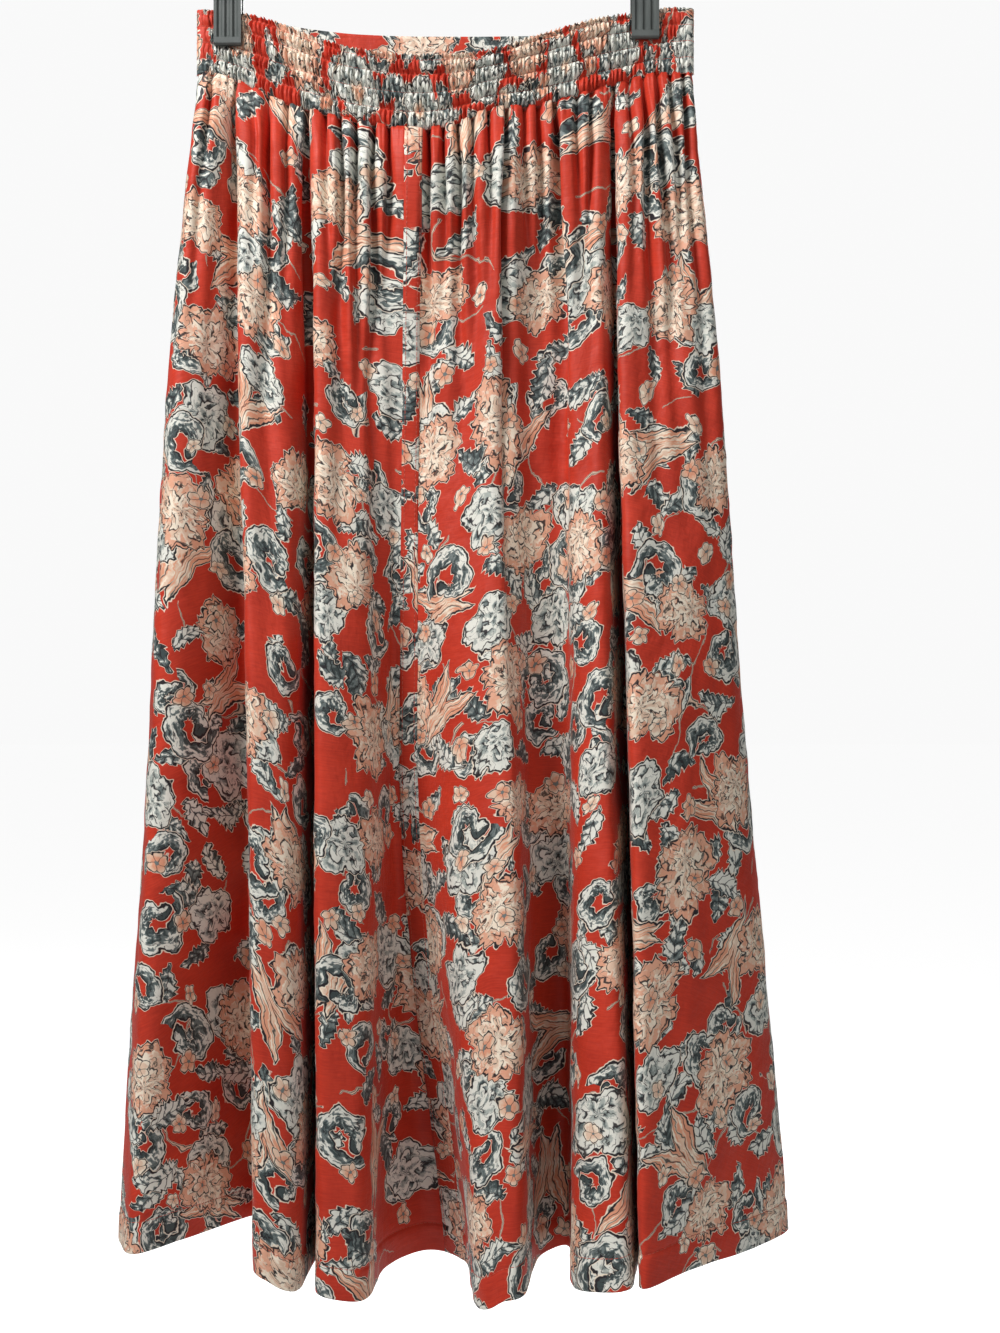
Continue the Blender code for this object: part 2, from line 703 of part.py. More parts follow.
def hook_route():
    """Middle line of the hook's wire, from its stem up and round over the rail."""
    radius = HOOK_INNER + HOOK_WIRE / 2
    centre = Vector((0, 0, -HOOK_INNER))
    join = math.radians(HOOK_START_ANGLE)
    first = Vector((0, 0, BAR_TOP + BOSS_HEIGHT + SEAM))
    bend = Vector((0, 0, HOOK_STEM_BEND))
    meet = centre + Vector((math.cos(join), 0, math.sin(join))) * radius
    toward = Vector((-math.sin(join), 0, math.cos(join)))
    points = [first, first.lerp(bend, 0.5)]
    reach = HOOK_BEND_REACH
    for step in range(7):
        share = step / 6
        rest = 1 - share
        points.append(
            bend * rest ** 3
            + (bend + Vector((0, 0, reach))) * 3 * share * rest ** 2
            + (meet - toward * reach) * 3 * share ** 2 * rest
            + meet * share ** 3
        )
    for step in range(1, HOOK_STEPS + 1):
        angle = join + (math.radians(HOOK_END_ANGLE) - join) * step / HOOK_STEPS
        points.append(centre + Vector((math.cos(angle), 0, math.sin(angle))) * radius)
    return points


def build_hook(finish):
    """Steel wire hook that rises from the boss of the bar."""
    curve = bpy.data.curves.new("hanger_hook", "CURVE")
    curve.dimensions = "3D"
    curve.bevel_depth = HOOK_WIRE / 2 * MM
    curve.bevel_resolution = 2
    curve.use_fill_caps = True
    route = hook_route()
    spline = curve.splines.new("POLY")
    spline.points.add(len(route) - 1)
    for point, place in zip(spline.points, route):
        point.co = (*(place * MM), 1.0)
    curve.materials.append(finish)
    piece = bpy.data.objects.new("hanger_hook", curve)
    bpy.context.scene.collection.objects.link(piece)


def main():
    """Clear the scene and build every piece."""
    for old in list(bpy.data.objects):
        bpy.data.objects.remove(old, do_unlink=True)
    cotton = material("printed_cotton", (0.52, 0.10, 0.07), 0.62)
    plastic = material("grey_plastic", (0.08, 0.085, 0.083), 0.45)
    steel = material("polished_steel", (0.72, 0.73, 0.74), 0.22, 1.0)
    build_skirt(cotton)
    build_front_band(cotton)
    build_back_band(cotton)
    for side, sign in (("right", -1), ("left", 1)):
        for face, facing in (("front", -1), ("back", 1)):
            name = "clip_%s_%s_jaw" % (side, face)
            build_jaw(name, sign * CLIP_ACROSS, CLIP_BOTTOM[side], facing, plastic)
    build_bar(plastic)
    build_hook(steel)


main()
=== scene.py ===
"""Looks of a gathered midi skirt on a clip hanger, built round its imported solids.

Lengths are in millimetres, as the solids were drawn, and become metres in the meshes.
X runs across, Y away from the viewer, Z up, with the origin where the hook bears on its rail.
"""
import math

import bmesh
import bpy
import numpy as np
from mathutils import Matrix, Vector


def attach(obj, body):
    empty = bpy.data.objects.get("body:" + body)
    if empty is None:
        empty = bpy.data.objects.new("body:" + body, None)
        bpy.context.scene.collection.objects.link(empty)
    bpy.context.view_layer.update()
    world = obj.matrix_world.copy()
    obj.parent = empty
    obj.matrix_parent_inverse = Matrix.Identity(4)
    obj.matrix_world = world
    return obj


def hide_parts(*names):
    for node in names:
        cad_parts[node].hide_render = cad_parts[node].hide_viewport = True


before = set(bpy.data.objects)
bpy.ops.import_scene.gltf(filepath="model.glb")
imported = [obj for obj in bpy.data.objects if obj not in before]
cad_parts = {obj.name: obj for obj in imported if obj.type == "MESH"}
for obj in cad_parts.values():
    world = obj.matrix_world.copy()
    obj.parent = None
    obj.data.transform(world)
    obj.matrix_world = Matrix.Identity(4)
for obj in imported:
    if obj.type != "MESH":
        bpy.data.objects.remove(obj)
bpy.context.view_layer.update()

MM = 0.001

# Sizes of the skirt and its bands
SIDE_LENGTH = 787
CENTRE_SHORTER = 13
HALF_WAIST = 169
WAIST_MIDDLE = 6
WAIST_SEAM = 0.5
FRONT_BAND_WALL = 1.8
BACK_BAND_WALL = 1.6
EYE_DISTANCE = 1100
EYE_ACROSS = 43
HELD_FOLDS = 0.12
HELD_GATHERS = 0.7
SWELL_FALL = 0.045
BAND_FALL = 0.3
TUCK_UP = 2.0
TUCK_IN = 1.1
TUCK_FALL = 0.007
GATHERED_FALL = 0.12

# Walls of the finished cloth, in metres
PANEL_WALL = 0.5 * MM
FINE_WALL = 0.4 * MM
BACK_BAND_CLOTH_WALL = 0.9 * MM

# How finely the cloth is cut into faces, and the falls at which its columns are spaced
FRONT_COLUMNS = 520
BACK_COLUMNS = 284
FALL_ROWS = 165
SPACING_FALLS = (0.2, 0.75)
SOFTEN = 2.6

# Shirred front band
RUFFLES = 112
RUFFLE_COLUMNS = 8
BAND_ROWS = 44
SHIRR_LINES = (0.0, 2.0, 4.0, 6.0, 7.5)
BAND_LEVELS = 8
BAND_CLOTH = (0.62, 0.048)
BAND_OUT = FRONT_BAND_WALL - 0.4
BAND_SAMPLES = 3001
BAND_DRAWN_IN = 0.9
PUFF = 3.0
RUFFLE = 2.1
LINE_RUFFLE = 0.25
ROW_SLANT = (0.0, 0.55, -0.5, 0.7, -0.6, 0.45, -0.55, 0.5, 0.0)
RUFFLE_FADE = 0.06
# How the ruffles wander along the band: size, waves along it, and shift from row to row
RUFFLE_WANDER = ((1.1, 61, 2.3), (0.9, 143, 4.1), (0.7, 331, 1.3), (0.5, 707, 3.3))
BAND_END = 0.05
BAND_CUT = 9

# Smooth back band
BACK_BAND_CLOTH = (0.345, 0.046)
BACK_BAND_COLUMNS = 321
BACK_BAND_ROWS = 25
BACK_BAND_OUT = 0.75
BACK_BAND_EDGE = 0.5
BACK_BAND_RIPPLE = 0.35

# Hem and placket
HEM_HEIGHT = 20
HEM_SWELL = 0.35
HEM_EDGE = 1.6
# Row of hem stitches: how far it sinks and half its width; then the puckers beside it:
# height, length, and how far from the row they fade
HEM_SINK = (0.5, 1.3)
HEM_PUCKER = (0.3, 8.7, 11.0)
# Rows of faces set close to the row of hem stitches, as shares of the fall
HEM_ROWS = (-0.004, -0.0015, 0.0, 0.0015, 0.004)
LAST_ROW = 0.0012
SEAM_CLOSER = 0.45
HEM_INSIDE = 1.0
PLACKET_LIFT = 0.2
PLACKET_RAISE = 0.75
PLACKET_STITCH = 2.2
PUCKER_MORE = 1.7
PUCKER_HALF = 0.0045

# Side seams: depth and half width of their line
SIDE_SEAM = (0.9, 1.6)

# Thread and stitches; lengths in metres
THREAD_THICK = 0.42 * MM
THREAD_SIDES = 5
STITCH_LONG = 2.4 * MM
STITCH_GAP = 0.9 * MM
SHIRR_LONG = 1.3 * MM
SHIRR_GAP = 0.5 * MM

# Brightness of the white room, as it is seen and as it lights the cloth
ROOM_SEEN = 0.95
ROOM_LIGHT = 0.14

# Studio floor, in metres, and how bright the camera sees it
FLOOR_HEIGHT = -1.35
FLOOR_WIDE = 30.0
FLOOR_SEEN = 0.84

# Camera: lens length for each unit of sensor width, sensor in millimetres, height in metres
LENS_SHARE = 1.6176
SENSOR = 36.0
EYE_HEIGHT = -0.5732
SIGHT = 20.0

# Soft lights: name, place, aim, size and power
LIGHTS = (
    ("key light", (-0.85, -0.85, 0.62), (0, 0, -0.42), 0.5, 31),
    ("fill light", (0.9, -1.5, 0.2), (0, 0, -0.5), 0.9, 7),
    ("back light", (0.7, 1.3, 0.5), (0, 0, -0.45), 0.7, 26),
)

# Hanger clips
CLIP_ACROSS = 141.4
CLIP_WIDTH = 18.5
CLIP_BOTTOM = {"right": -152.6, "left": -147.9}

# Fold lines of the front: across and depth at seam, thigh, knee and hem, and rounding;
# they run from the right side seam to the left one
STATIONS = (0.0, 0.25, 0.55, 1.0)
FRONT_LINES = (
    ((-163, -185, -198, -219), (0, 6, 8, 2), 7),
    ((-160, -181, -193, -210), (-8, -16, -28, -46), 14),
    ((-146, -159, -163, -168), (-8, -9, -10, -8), 25),
    ((-135, -132, -126, -118), (3, 18, 36, 52), 12),
    ((-136, -136, -130, -126), (-12, -22, -48, -72), 9),
    ((-100, -98, -96, -94), (-10, -14, -36, -66), 13),
    ((-87, -83, -81, -78), (4, 18, 28, 26), 8),
    ((-84, -84, -84, -83), (-11, -22, -42, -62), 8),
    ((-55, -51, -48, -47), (-9, -13, -28, -56), 16),
    ((-38, -37, -36, -36), (-6, -1, 8, 18), 16),
    ((-29, -30, -31, -8), (-4, 5, 20, 54), 20),
    ((-22, -24, -26, 7), (-5, 4, 19, 50), 6),
    ((-8, -11, -11, 22), (-5, 3, 14, 30), 6),
    ((11, 11, 11, 26), (-9, -9, -18, -68), 12),
    ((46, 48, 53, 60), (-11, -20, -40, -77), 11),
    ((57, 60, 63, 68), (-4, 2, 3, 4), 14),
    ((79, 84, 89, 92), (-4, 4, 12, 20), 14),
    ((88, 90, 93, 91), (-10, -14, -28, -74), 13),
    ((112, 113, 118, 132), (-11, -22, -44, -98), 12),
    ((120, 124, 129, 141), (5, 18, 28, -6), 8),
    ((123, 123, 130, 137), (-12, -26, -60, -102), 9),
    ((155, 171, 184, 196), (-8, -12, -27, -50), 26),
    ((171, 188, 204, 230), (-3, -6, -10, -14), 14),
    ((175, 195, 212, 245), (0, 6, 10, 12), 7),
)
LEFT_TURN = len(FRONT_LINES) - 1
PLACKET_START = 11
PLACKET_END = 12

# Folds of the back, left to right: middle at seam and hem, width, standing out, hollow after
BACK_FOLDS = (
    (145, 186, 44, 104, 66),
    (92, 112, 38, 121, 70),
    (38, 46, 46, 113, 68),
    (-16, -22, 36, 124, 71),
    (-70, -88, 44, 116, 66),
    (-128, -160, 46, 106, 40),
)
BACK_RIGHT_SEAM = ((-159, -180, -192, -206), (3, 22, 36, 46), 14)
BACK_LEFT_SEAM = ((171, 190, 206, 233), (3, 22, 36, 46), 14)
BACK_SWELL = np.array((0.16, 0.42, 0.71, 1.0))
BACK_FOLD_HALF = 11
BACK_FOLD_CUT = 14
BACK_HOLLOW_CUT = 16

# Gathers into the front seam: place across, depth, and share of the length they run down
FRONT_GATHERS = (
    (-152, 4, 0.15), (-135, 4, 0.20), (-126, 4, 0.12), (-115, 7, 0.30), (-100, 4, 0.15),
    (-87, 5, 0.20), (-75, 4, 0.13), (-65, 7, 0.26), (-54, 7, 0.22), (-42, 7, 0.26),
    (-32, 5, 0.13), (-5, 7, 0.20), (5, 5, 0.12), (14, 7, 0.22), (24, 5, 0.15),
    (35, 5, 0.12), (48, 8, 0.36), (59, 4, 0.15), (69, 6, 0.15), (80, 7, 0.25),
    (95, 5, 0.15), (105, 5, 0.20), (120, 4, 0.20), (131, 4, 0.15), (140, 7, 0.28),
    (149, 7, 0.25), (158, 5, 0.15), (167, 5, 0.28),
)
BACK_GATHERS = 22
BACK_GATHER_DEEP = 5.0
BACK_GATHER_RUN = 0.2
# Shares by which the back gathers' place, depth and run are uneven
BACK_UNEVEN = (0.16, 0.24, 0.35)
SIDE_PINCH = (2.0, 0.1)
GATHER_POINT = 0.4
GATHER_SINK = 0.62
GATHER_MORE = 0.85
# Fine gathers between the main ones: how far apart, then mean and swing of depth and of run
FINE_APART = 5.2
FINE_DEEP = (1.9, 1.2)
FINE_RUN = (0.036, 0.026)
FINE_UNEVEN = 0.22
FINE_POINT = 0.7
FINE_SINK = 0.5
FINE_LAST = (1.5, 0.04)
GROOVE_DEEP = 1.6
GROOVE_LONGER = 1.7
GROOVE_WIDTH = 1.2
GROOVE_WIDENS = 20.0
GROOVE_ROOM = (2.0, 20.0)
GROOVE_SHARE = 0.45

# The waist across: drops of the bands' edges below the hook, and gaps from the middle plane
WAIST = {
    "across": (-162, -160.5, -156.5, -152.5, -128, -112, -87, -52, -10, 20, 34, 63, 90,
               112, 128, 152.5, 159, 172, 174),
    "front_top": (128, 128, 128, 128, 131, 136, 147, 159, 164, 163, 161, 151, 141,
                  134, 131, 127, 127, 127, 127),
    "front_seam": (172, 172, 172, 172, 180, 189, 198, 208, 214, 208, 201, 197, 190,
                   182, 177, 172, 172, 171, 171),
    "back_top": (128, 128, 128, 128, 130, 134, 138, 141, 142, 142, 142, 142, 140,
                 135, 130, 127, 127, 127, 127),
    "back_seam": (172, 172, 172, 172, 174, 177, 181, 186, 188, 188, 188, 186, 182,
                  177, 174, 171, 171, 171, 171),
    "front_gap": (0, 2.4, 2.2, 0.5, 0.5, 3.5, 8, 13, 16, 16, 15.5, 12, 7,
                  3.5, 0.5, 0.5, 2.4, 2.6, 0),
    "back_gap": (0, 2.4, 2.2, 0.9, 0.9, 2.2, 4, 6, 7, 7, 7, 6, 4,
                 2.2, 0.9, 0.9, 2.4, 2.6, 0),
}

# Creases of the skirt: turn at top and bottom, shares of the fall, width, and depth
# (less than 0 for a trough), each as uneven as the cloth shows
CREASES = (
    (0.7, 0.9, 0.10, 0.46, 7, -1.6),
    (1.5, 1.7, 0.30, 0.85, 9, 1.4),
    (2.3, 2.2, 0.04, 0.33, 6, -1.5),
    (4.4, 4.3, 0.06, 0.40, 6, -1.8),
    (4.8, 4.6, 0.30, 0.95, 10, 1.5),
    (7.4, 7.5, 0.05, 0.36, 6, -2.0),
    (7.8, 7.6, 0.42, 0.97, 9, -1.3),
    (9.4, 9.3, 0.12, 0.62, 8, 1.4),
    (13.3, 13.4, 0.04, 0.34, 6, -2.0),
    (13.6, 13.5, 0.38, 0.90, 10, 1.6),
    (13.9, 14.1, 0.10, 0.52, 6, -1.3),
    (15.6, 15.5, 0.05, 0.45, 7, 1.5),
    (17.5, 17.4, 0.08, 0.50, 6, -2.0),
    (17.2, 17.3, 0.50, 0.98, 9, 1.3),
    (20.4, 20.3, 0.05, 0.42, 6, -1.8),
    (20.7, 20.6, 0.34, 0.93, 12, 1.6),
    (21.5, 21.6, 0.12, 0.60, 8, -1.4),
    (24.5, 24.6, 0.08, 0.55, 8, -1.8),
    (25.6, 25.4, 0.30, 0.90, 10, 1.5),
    (27.5, 27.6, 0.05, 0.40, 7, -1.7),
    (28.6, 28.4, 0.20, 0.75, 9, 1.6),
    (30.5, 30.6, 0.06, 0.50, 7, -1.8),
    (31.5, 31.4, 0.35, 0.95, 10, 1.3),
    (33.5, 33.4, 0.05, 0.42, 7, -1.6),
    (34.4, 34.6, 0.25, 0.80, 9, 1.6),
    (36.5, 36.4, 0.06, 0.46, 7, -1.8),
    (37.5, 37.6, 0.30, 0.92, 10, 1.4),
    (39.5, 39.4, 0.05, 0.40, 7, -1.7),
    (40.5, 40.6, 0.30, 0.85, 9, 1.4),
)
# Short cross puckers beside the placket: fall, side of it, reach in turns, and depth
PLACKET_PUCKERS = (
    (0.288, -1, 0.55, 0.9), (0.302, 1, 0.40, 0.7), (0.318, -1, 0.45, 1.0), (0.333, 1, 0.60, 0.9),
    (0.347, -1, 0.38, 0.8), (0.361, 1, 0.50, 0.7), (0.374, -1, 0.50, 0.9), (0.21, 1, 0.4, 0.6),
    (0.46, -1, 0.45, 0.6), (0.58, 1, 0.5, 0.6), (0.69, -1, 0.5, 0.7), (0.81, 1, 0.5, 0.6),
)
# Rumples all over: height, wave lengths, seed, and the fall over which they grow
RUMPLES = ((0.55, (140, 75), 3, 0.05), (0.3, (34, 21), 5, 0.03))


def ease(edge, value):
    """Rise smoothly from 0 to 1 while value goes from 0 to edge."""
    share = np.clip(np.asarray(value, float) / edge, 0.0, 1.0)
    return share * share * (3.0 - 2.0 * share)


def through(knots, values, at):
    """Read a smooth curve that passes the values at the knots and never overshoots them."""
    knots = np.asarray(knots, float)
    values = np.asarray(values, float)
    rise = np.diff(values) / np.diff(knots)
    slope = np.zeros(len(knots))
    slope[0], slope[-1] = rise[0], rise[-1]
    same_way = rise[:-1] * rise[1:] > 0
    total = np.where(same_way, rise[:-1] + rise[1:], 1.0)
    slope[1:-1] = np.where(same_way, 2 * rise[:-1] * rise[1:] / total, 0.0)
    at = np.clip(at, knots[0], knots[-1])
    cell = np.clip(np.searchsorted(knots, at) - 1, 0, len(knots) - 2)
    width = knots[cell + 1] - knots[cell]
    share = (at - knots[cell]) / width
    rest = 1.0 - share
    return (
        values[cell] * (1 + 2 * share) * rest ** 2
        + slope[cell] * width * share * rest ** 2
        + values[cell + 1] * (3 - 2 * share) * share ** 2
        - slope[cell + 1] * width * rest * share ** 2
    )


def lengths(path):
    """Distance along a path of points, from its start to each of them."""
    step = np.linalg.norm(np.diff(path, axis=0), axis=1)
    return np.concatenate(((0.0,), np.cumsum(step)))


def runs(points):
    """Distance along each row of a grid of points, from its first column."""
    step = np.linalg.norm(np.diff(points, axis=1), axis=-1)
    return np.concatenate((np.zeros((len(points), 1)), np.cumsum(step, axis=1)), axis=1)


def hung(plan, below):
    """Points in metres, from their places in plan and how far they hang below the hook."""
    return np.concatenate((plan, -below[..., None]), axis=-1) * MM


def waist(column, across):
    """Read one column of the waist table at places across."""
    return through(WAIST["across"], WAIST[column], across)


def rounded_loop(corners, cuts, steps=10):
    """Turns and points of a closed run of corners, each rounded off."""
    back = np.roll(corners, 1, axis=0) - corners
    ahead = np.roll(corners, -1, axis=0) - corners
    back_length = np.linalg.norm(back, axis=1)
    ahead_length = np.linalg.norm(ahead, axis=1)
    cut = np.minimum(cuts, 0.45 * np.minimum(back_length, ahead_length))[:, None]
    entry = corners + back / back_length[:, None] * cut
    leave = corners + ahead / ahead_length[:, None] * cut
    share = np.linspace(0.0, 1.0, 2 * steps + 1)[None, :, None]
    arcs = (
        entry[:, None] * (1 - share) ** 2
        + corners[:, None] * 2 * share * (1 - share)
        + leave[:, None] * share ** 2
    )
    turns, points = [], []
    for i in range(len(corners)):
        path = np.concatenate((arcs[i, steps:], arcs[(i + 1) % len(corners), :steps + 1]))
        length = lengths(path)
        turns.append(i + length / length[-1])
        points.append(path)
    return np.concatenate(turns), np.concatenate(points)


def walk(loop, turns):
    """Points of a rounded loop at any turns."""
    known, points = loop
    keep = np.concatenate(((True,), np.diff(known) > 1e-9))
    whole = round(known[-1])
    turns = np.mod(turns, whole)
    return np.stack([np.interp(turns, known[keep], points[keep, k]) for k in (0, 1)], axis=-1)


def back_lines():
    """Fold lines of the back, two edges and a hollow for each fold."""
    lines = [BACK_LEFT_SEAM]
    stations = np.array(STATIONS)
    for i, (seam, hem, width, out, hollow) in enumerate(BACK_FOLDS):
        across = seam + (hem - seam) * stations
        half = BACK_FOLD_HALF + (width / 2 - BACK_FOLD_HALF) * stations
        lines.append((across + half, out * BACK_SWELL, BACK_FOLD_CUT))
        lines.append((across - half, out * BACK_SWELL, BACK_FOLD_CUT))
        if i + 1 < len(BACK_FOLDS):
            next_seam, next_hem = BACK_FOLDS[i + 1][:2]
            middle_seam = (seam + next_seam) / 2
            middle_hem = (hem + next_hem) / 2
            across = middle_seam + (middle_hem - middle_seam) * stations
            lines.append((across, hollow * BACK_SWELL, BACK_HOLLOW_CUT))
    return (*lines, BACK_RIGHT_SEAM)


LINES = FRONT_LINES + back_lines()
WHOLE_TURN = len(LINES)


def skirt_section(fall):
    """The skirt's rounded section at a share of its fall."""
    swell = HELD_FOLDS + (1.0 - HELD_FOLDS) * ease(SWELL_FALL, fall)
    let_go = 1.0 - ease(BAND_FALL, fall)
    corners = np.zeros((WHOLE_TURN, 2))
    for turn, (across, depth, _) in enumerate(LINES):
        x = float(through(STATIONS, across, fall))
        y = float(through(STATIONS, depth, fall)) * swell
        if 0 < turn < LEFT_TURN:
            y -= (float(waist("front_gap", across[0])) + FRONT_BAND_WALL) * let_go
            x = EYE_ACROSS + (x - EYE_ACROSS) * (EYE_DISTANCE + y) / EYE_DISTANCE
        elif turn > LEFT_TURN:
            y += (float(waist("back_gap", across[0])) + BACK_BAND_WALL) * let_go
        corners[turn] = (x, y)
    return rounded_loop(corners, np.array([line[2] for line in LINES], float))


SEAM_SECTION = skirt_section(0.0)


def seam_turn(across, first, last):
    """Turn at which the section at the seam first reaches a place across."""
    turns = np.arange(first, last, 0.01)
    heading = 1 if last <= LEFT_TURN else -1
    passed = (walk(SEAM_SECTION, turns)[:, 0] - across) * heading >= 0
    return float(turns[np.argmax(passed)]) if passed.any() else float(last)


def main_gathers():
    """Every gather round the waist as (turn, depth, run), with the side seams as its ends."""
    rows = [(0.0, *SIDE_PINCH)]
    for across, deep, run in FRONT_GATHERS:
        rows.append((seam_turn(across, 0.0, LEFT_TURN), deep, run))
    rows.append((float(LEFT_TURN), *SIDE_PINCH))
    width = 2 * HALF_WAIST / (BACK_GATHERS + 1)
    aside, deeper, longer = BACK_UNEVEN
    for i in range(BACK_GATHERS):
        # Waves of unlike length keep the gathers from falling into step
        shift = math.sin(i * 2.4) + 0.6 * math.sin(i * 5.1)
        across = WAIST_MIDDLE + HALF_WAIST - (i + 1 + aside * shift) * width
        deep = BACK_GATHER_DEEP * (1 + deeper * math.sin(i * 3.7))
        run = BACK_GATHER_RUN * (1 + longer * math.sin(i * 1.9))
        rows.append((seam_turn(across, LEFT_TURN, WHOLE_TURN), deep, run))
    rows.append((float(WHOLE_TURN), *SIDE_PINCH))
    return np.array(rows)


def fine_gathers(gathers):
    """Small pinches between the main gathers, each with its own short run."""
    rows = []
    for i, (start, end) in enumerate(zip(gathers[:-1, 0], gathers[1:, 0])):
        ends = walk(SEAM_SECTION, np.array((start, end)))
        pieces = max(2, round(float(np.linalg.norm(ends[1] - ends[0])) / FINE_APART))
        for k in range(pieces):
            shift = FINE_UNEVEN * math.sin(7.3 * k + 2.1 * i)
            share = (k + shift) / pieces if k else 0.0
            deep = FINE_DEEP[0] + FINE_DEEP[1] * math.sin(3.1 * k + 1.7 * i)
            run = FINE_RUN[0] + FINE_RUN[1] * math.sin(4.3 * k + 2.9 * i)
            rows.append((start + (end - start) * share, deep, run))
    rows.append((float(WHOLE_TURN), *FINE_LAST))
    return np.array(rows)


def gather_height(rows, turns, falls, point, sink):
    """How far gathers lift or sink the cloth, for a column of falls and a row of turns."""
    turns = np.mod(turns, WHOLE_TURN)
    cell = np.clip(np.searchsorted(rows[:, 0], turns, side="right") - 1, 0, len(rows) - 2)
    start, end = rows[cell, 0], rows[cell + 1, 0]
    share = np.clip((turns - start) / (end - start), 0.0, 1.0)
    near = rows[cell, 1] * (1.0 - ease(1.0, falls / rows[cell, 2]))
    far = rows[cell + 1, 1] * (1.0 - ease(1.0, falls / rows[cell + 1, 2]))
    swell = HELD_GATHERS + (1.0 - HELD_GATHERS) * ease(SWELL_FALL, falls)
    return (near * (1 - share) + far * share) * swell * (np.sin(np.pi * share) ** point - sink)


def rumple(across, down, waves, seed):
    """Low uneven hills of unit height over the cloth, from waves of several lengths."""
    draw = np.random.default_rng(seed)
    hills = np.zeros(np.broadcast(across, down).shape)
    for length in waves:
        for _ in range(4):
            way = draw.uniform(0, 2 * np.pi)
            start = draw.uniform(0, 2 * np.pi, 2)
            bend = np.sin(across * 1.7 / length + down * 0.9 / length + start[1])
            path = across * np.cos(way) + down * np.sin(way)
            hills += np.sin(2 * np.pi * path / length + start[0] + 1.3 * bend)
    return hills / (2 * len(waves))


def column_turns(first, last, count):
    """Turns for a run of columns, spaced by the cloth's length near the knee."""
    steps = np.linspace(first, last, 40 * int(last - first) + 1)
    length = np.zeros(len(steps))
    for fall in SPACING_FALLS:
        length += lengths(walk(skirt_section(fall), steps))
    turns = np.interp(np.linspace(0, length[-1], count + 1), length, steps)
    turns[0], turns[-1] = first, last
    return turns


def fall_rows():
    """Shares of the fall for the cloth's rows, closer near the seam and the hem."""
    even = np.linspace(0.0, 1.0, FALL_ROWS)
    seam_pull = (1 - SEAM_CLOSER) * even + SEAM_CLOSER * even ** 2
    hem = [1.0 - HEM_HEIGHT / SIDE_LENGTH + away for away in HEM_ROWS]
    return np.unique(np.concatenate((seam_pull, hem, [1.0 - LAST_ROW])))


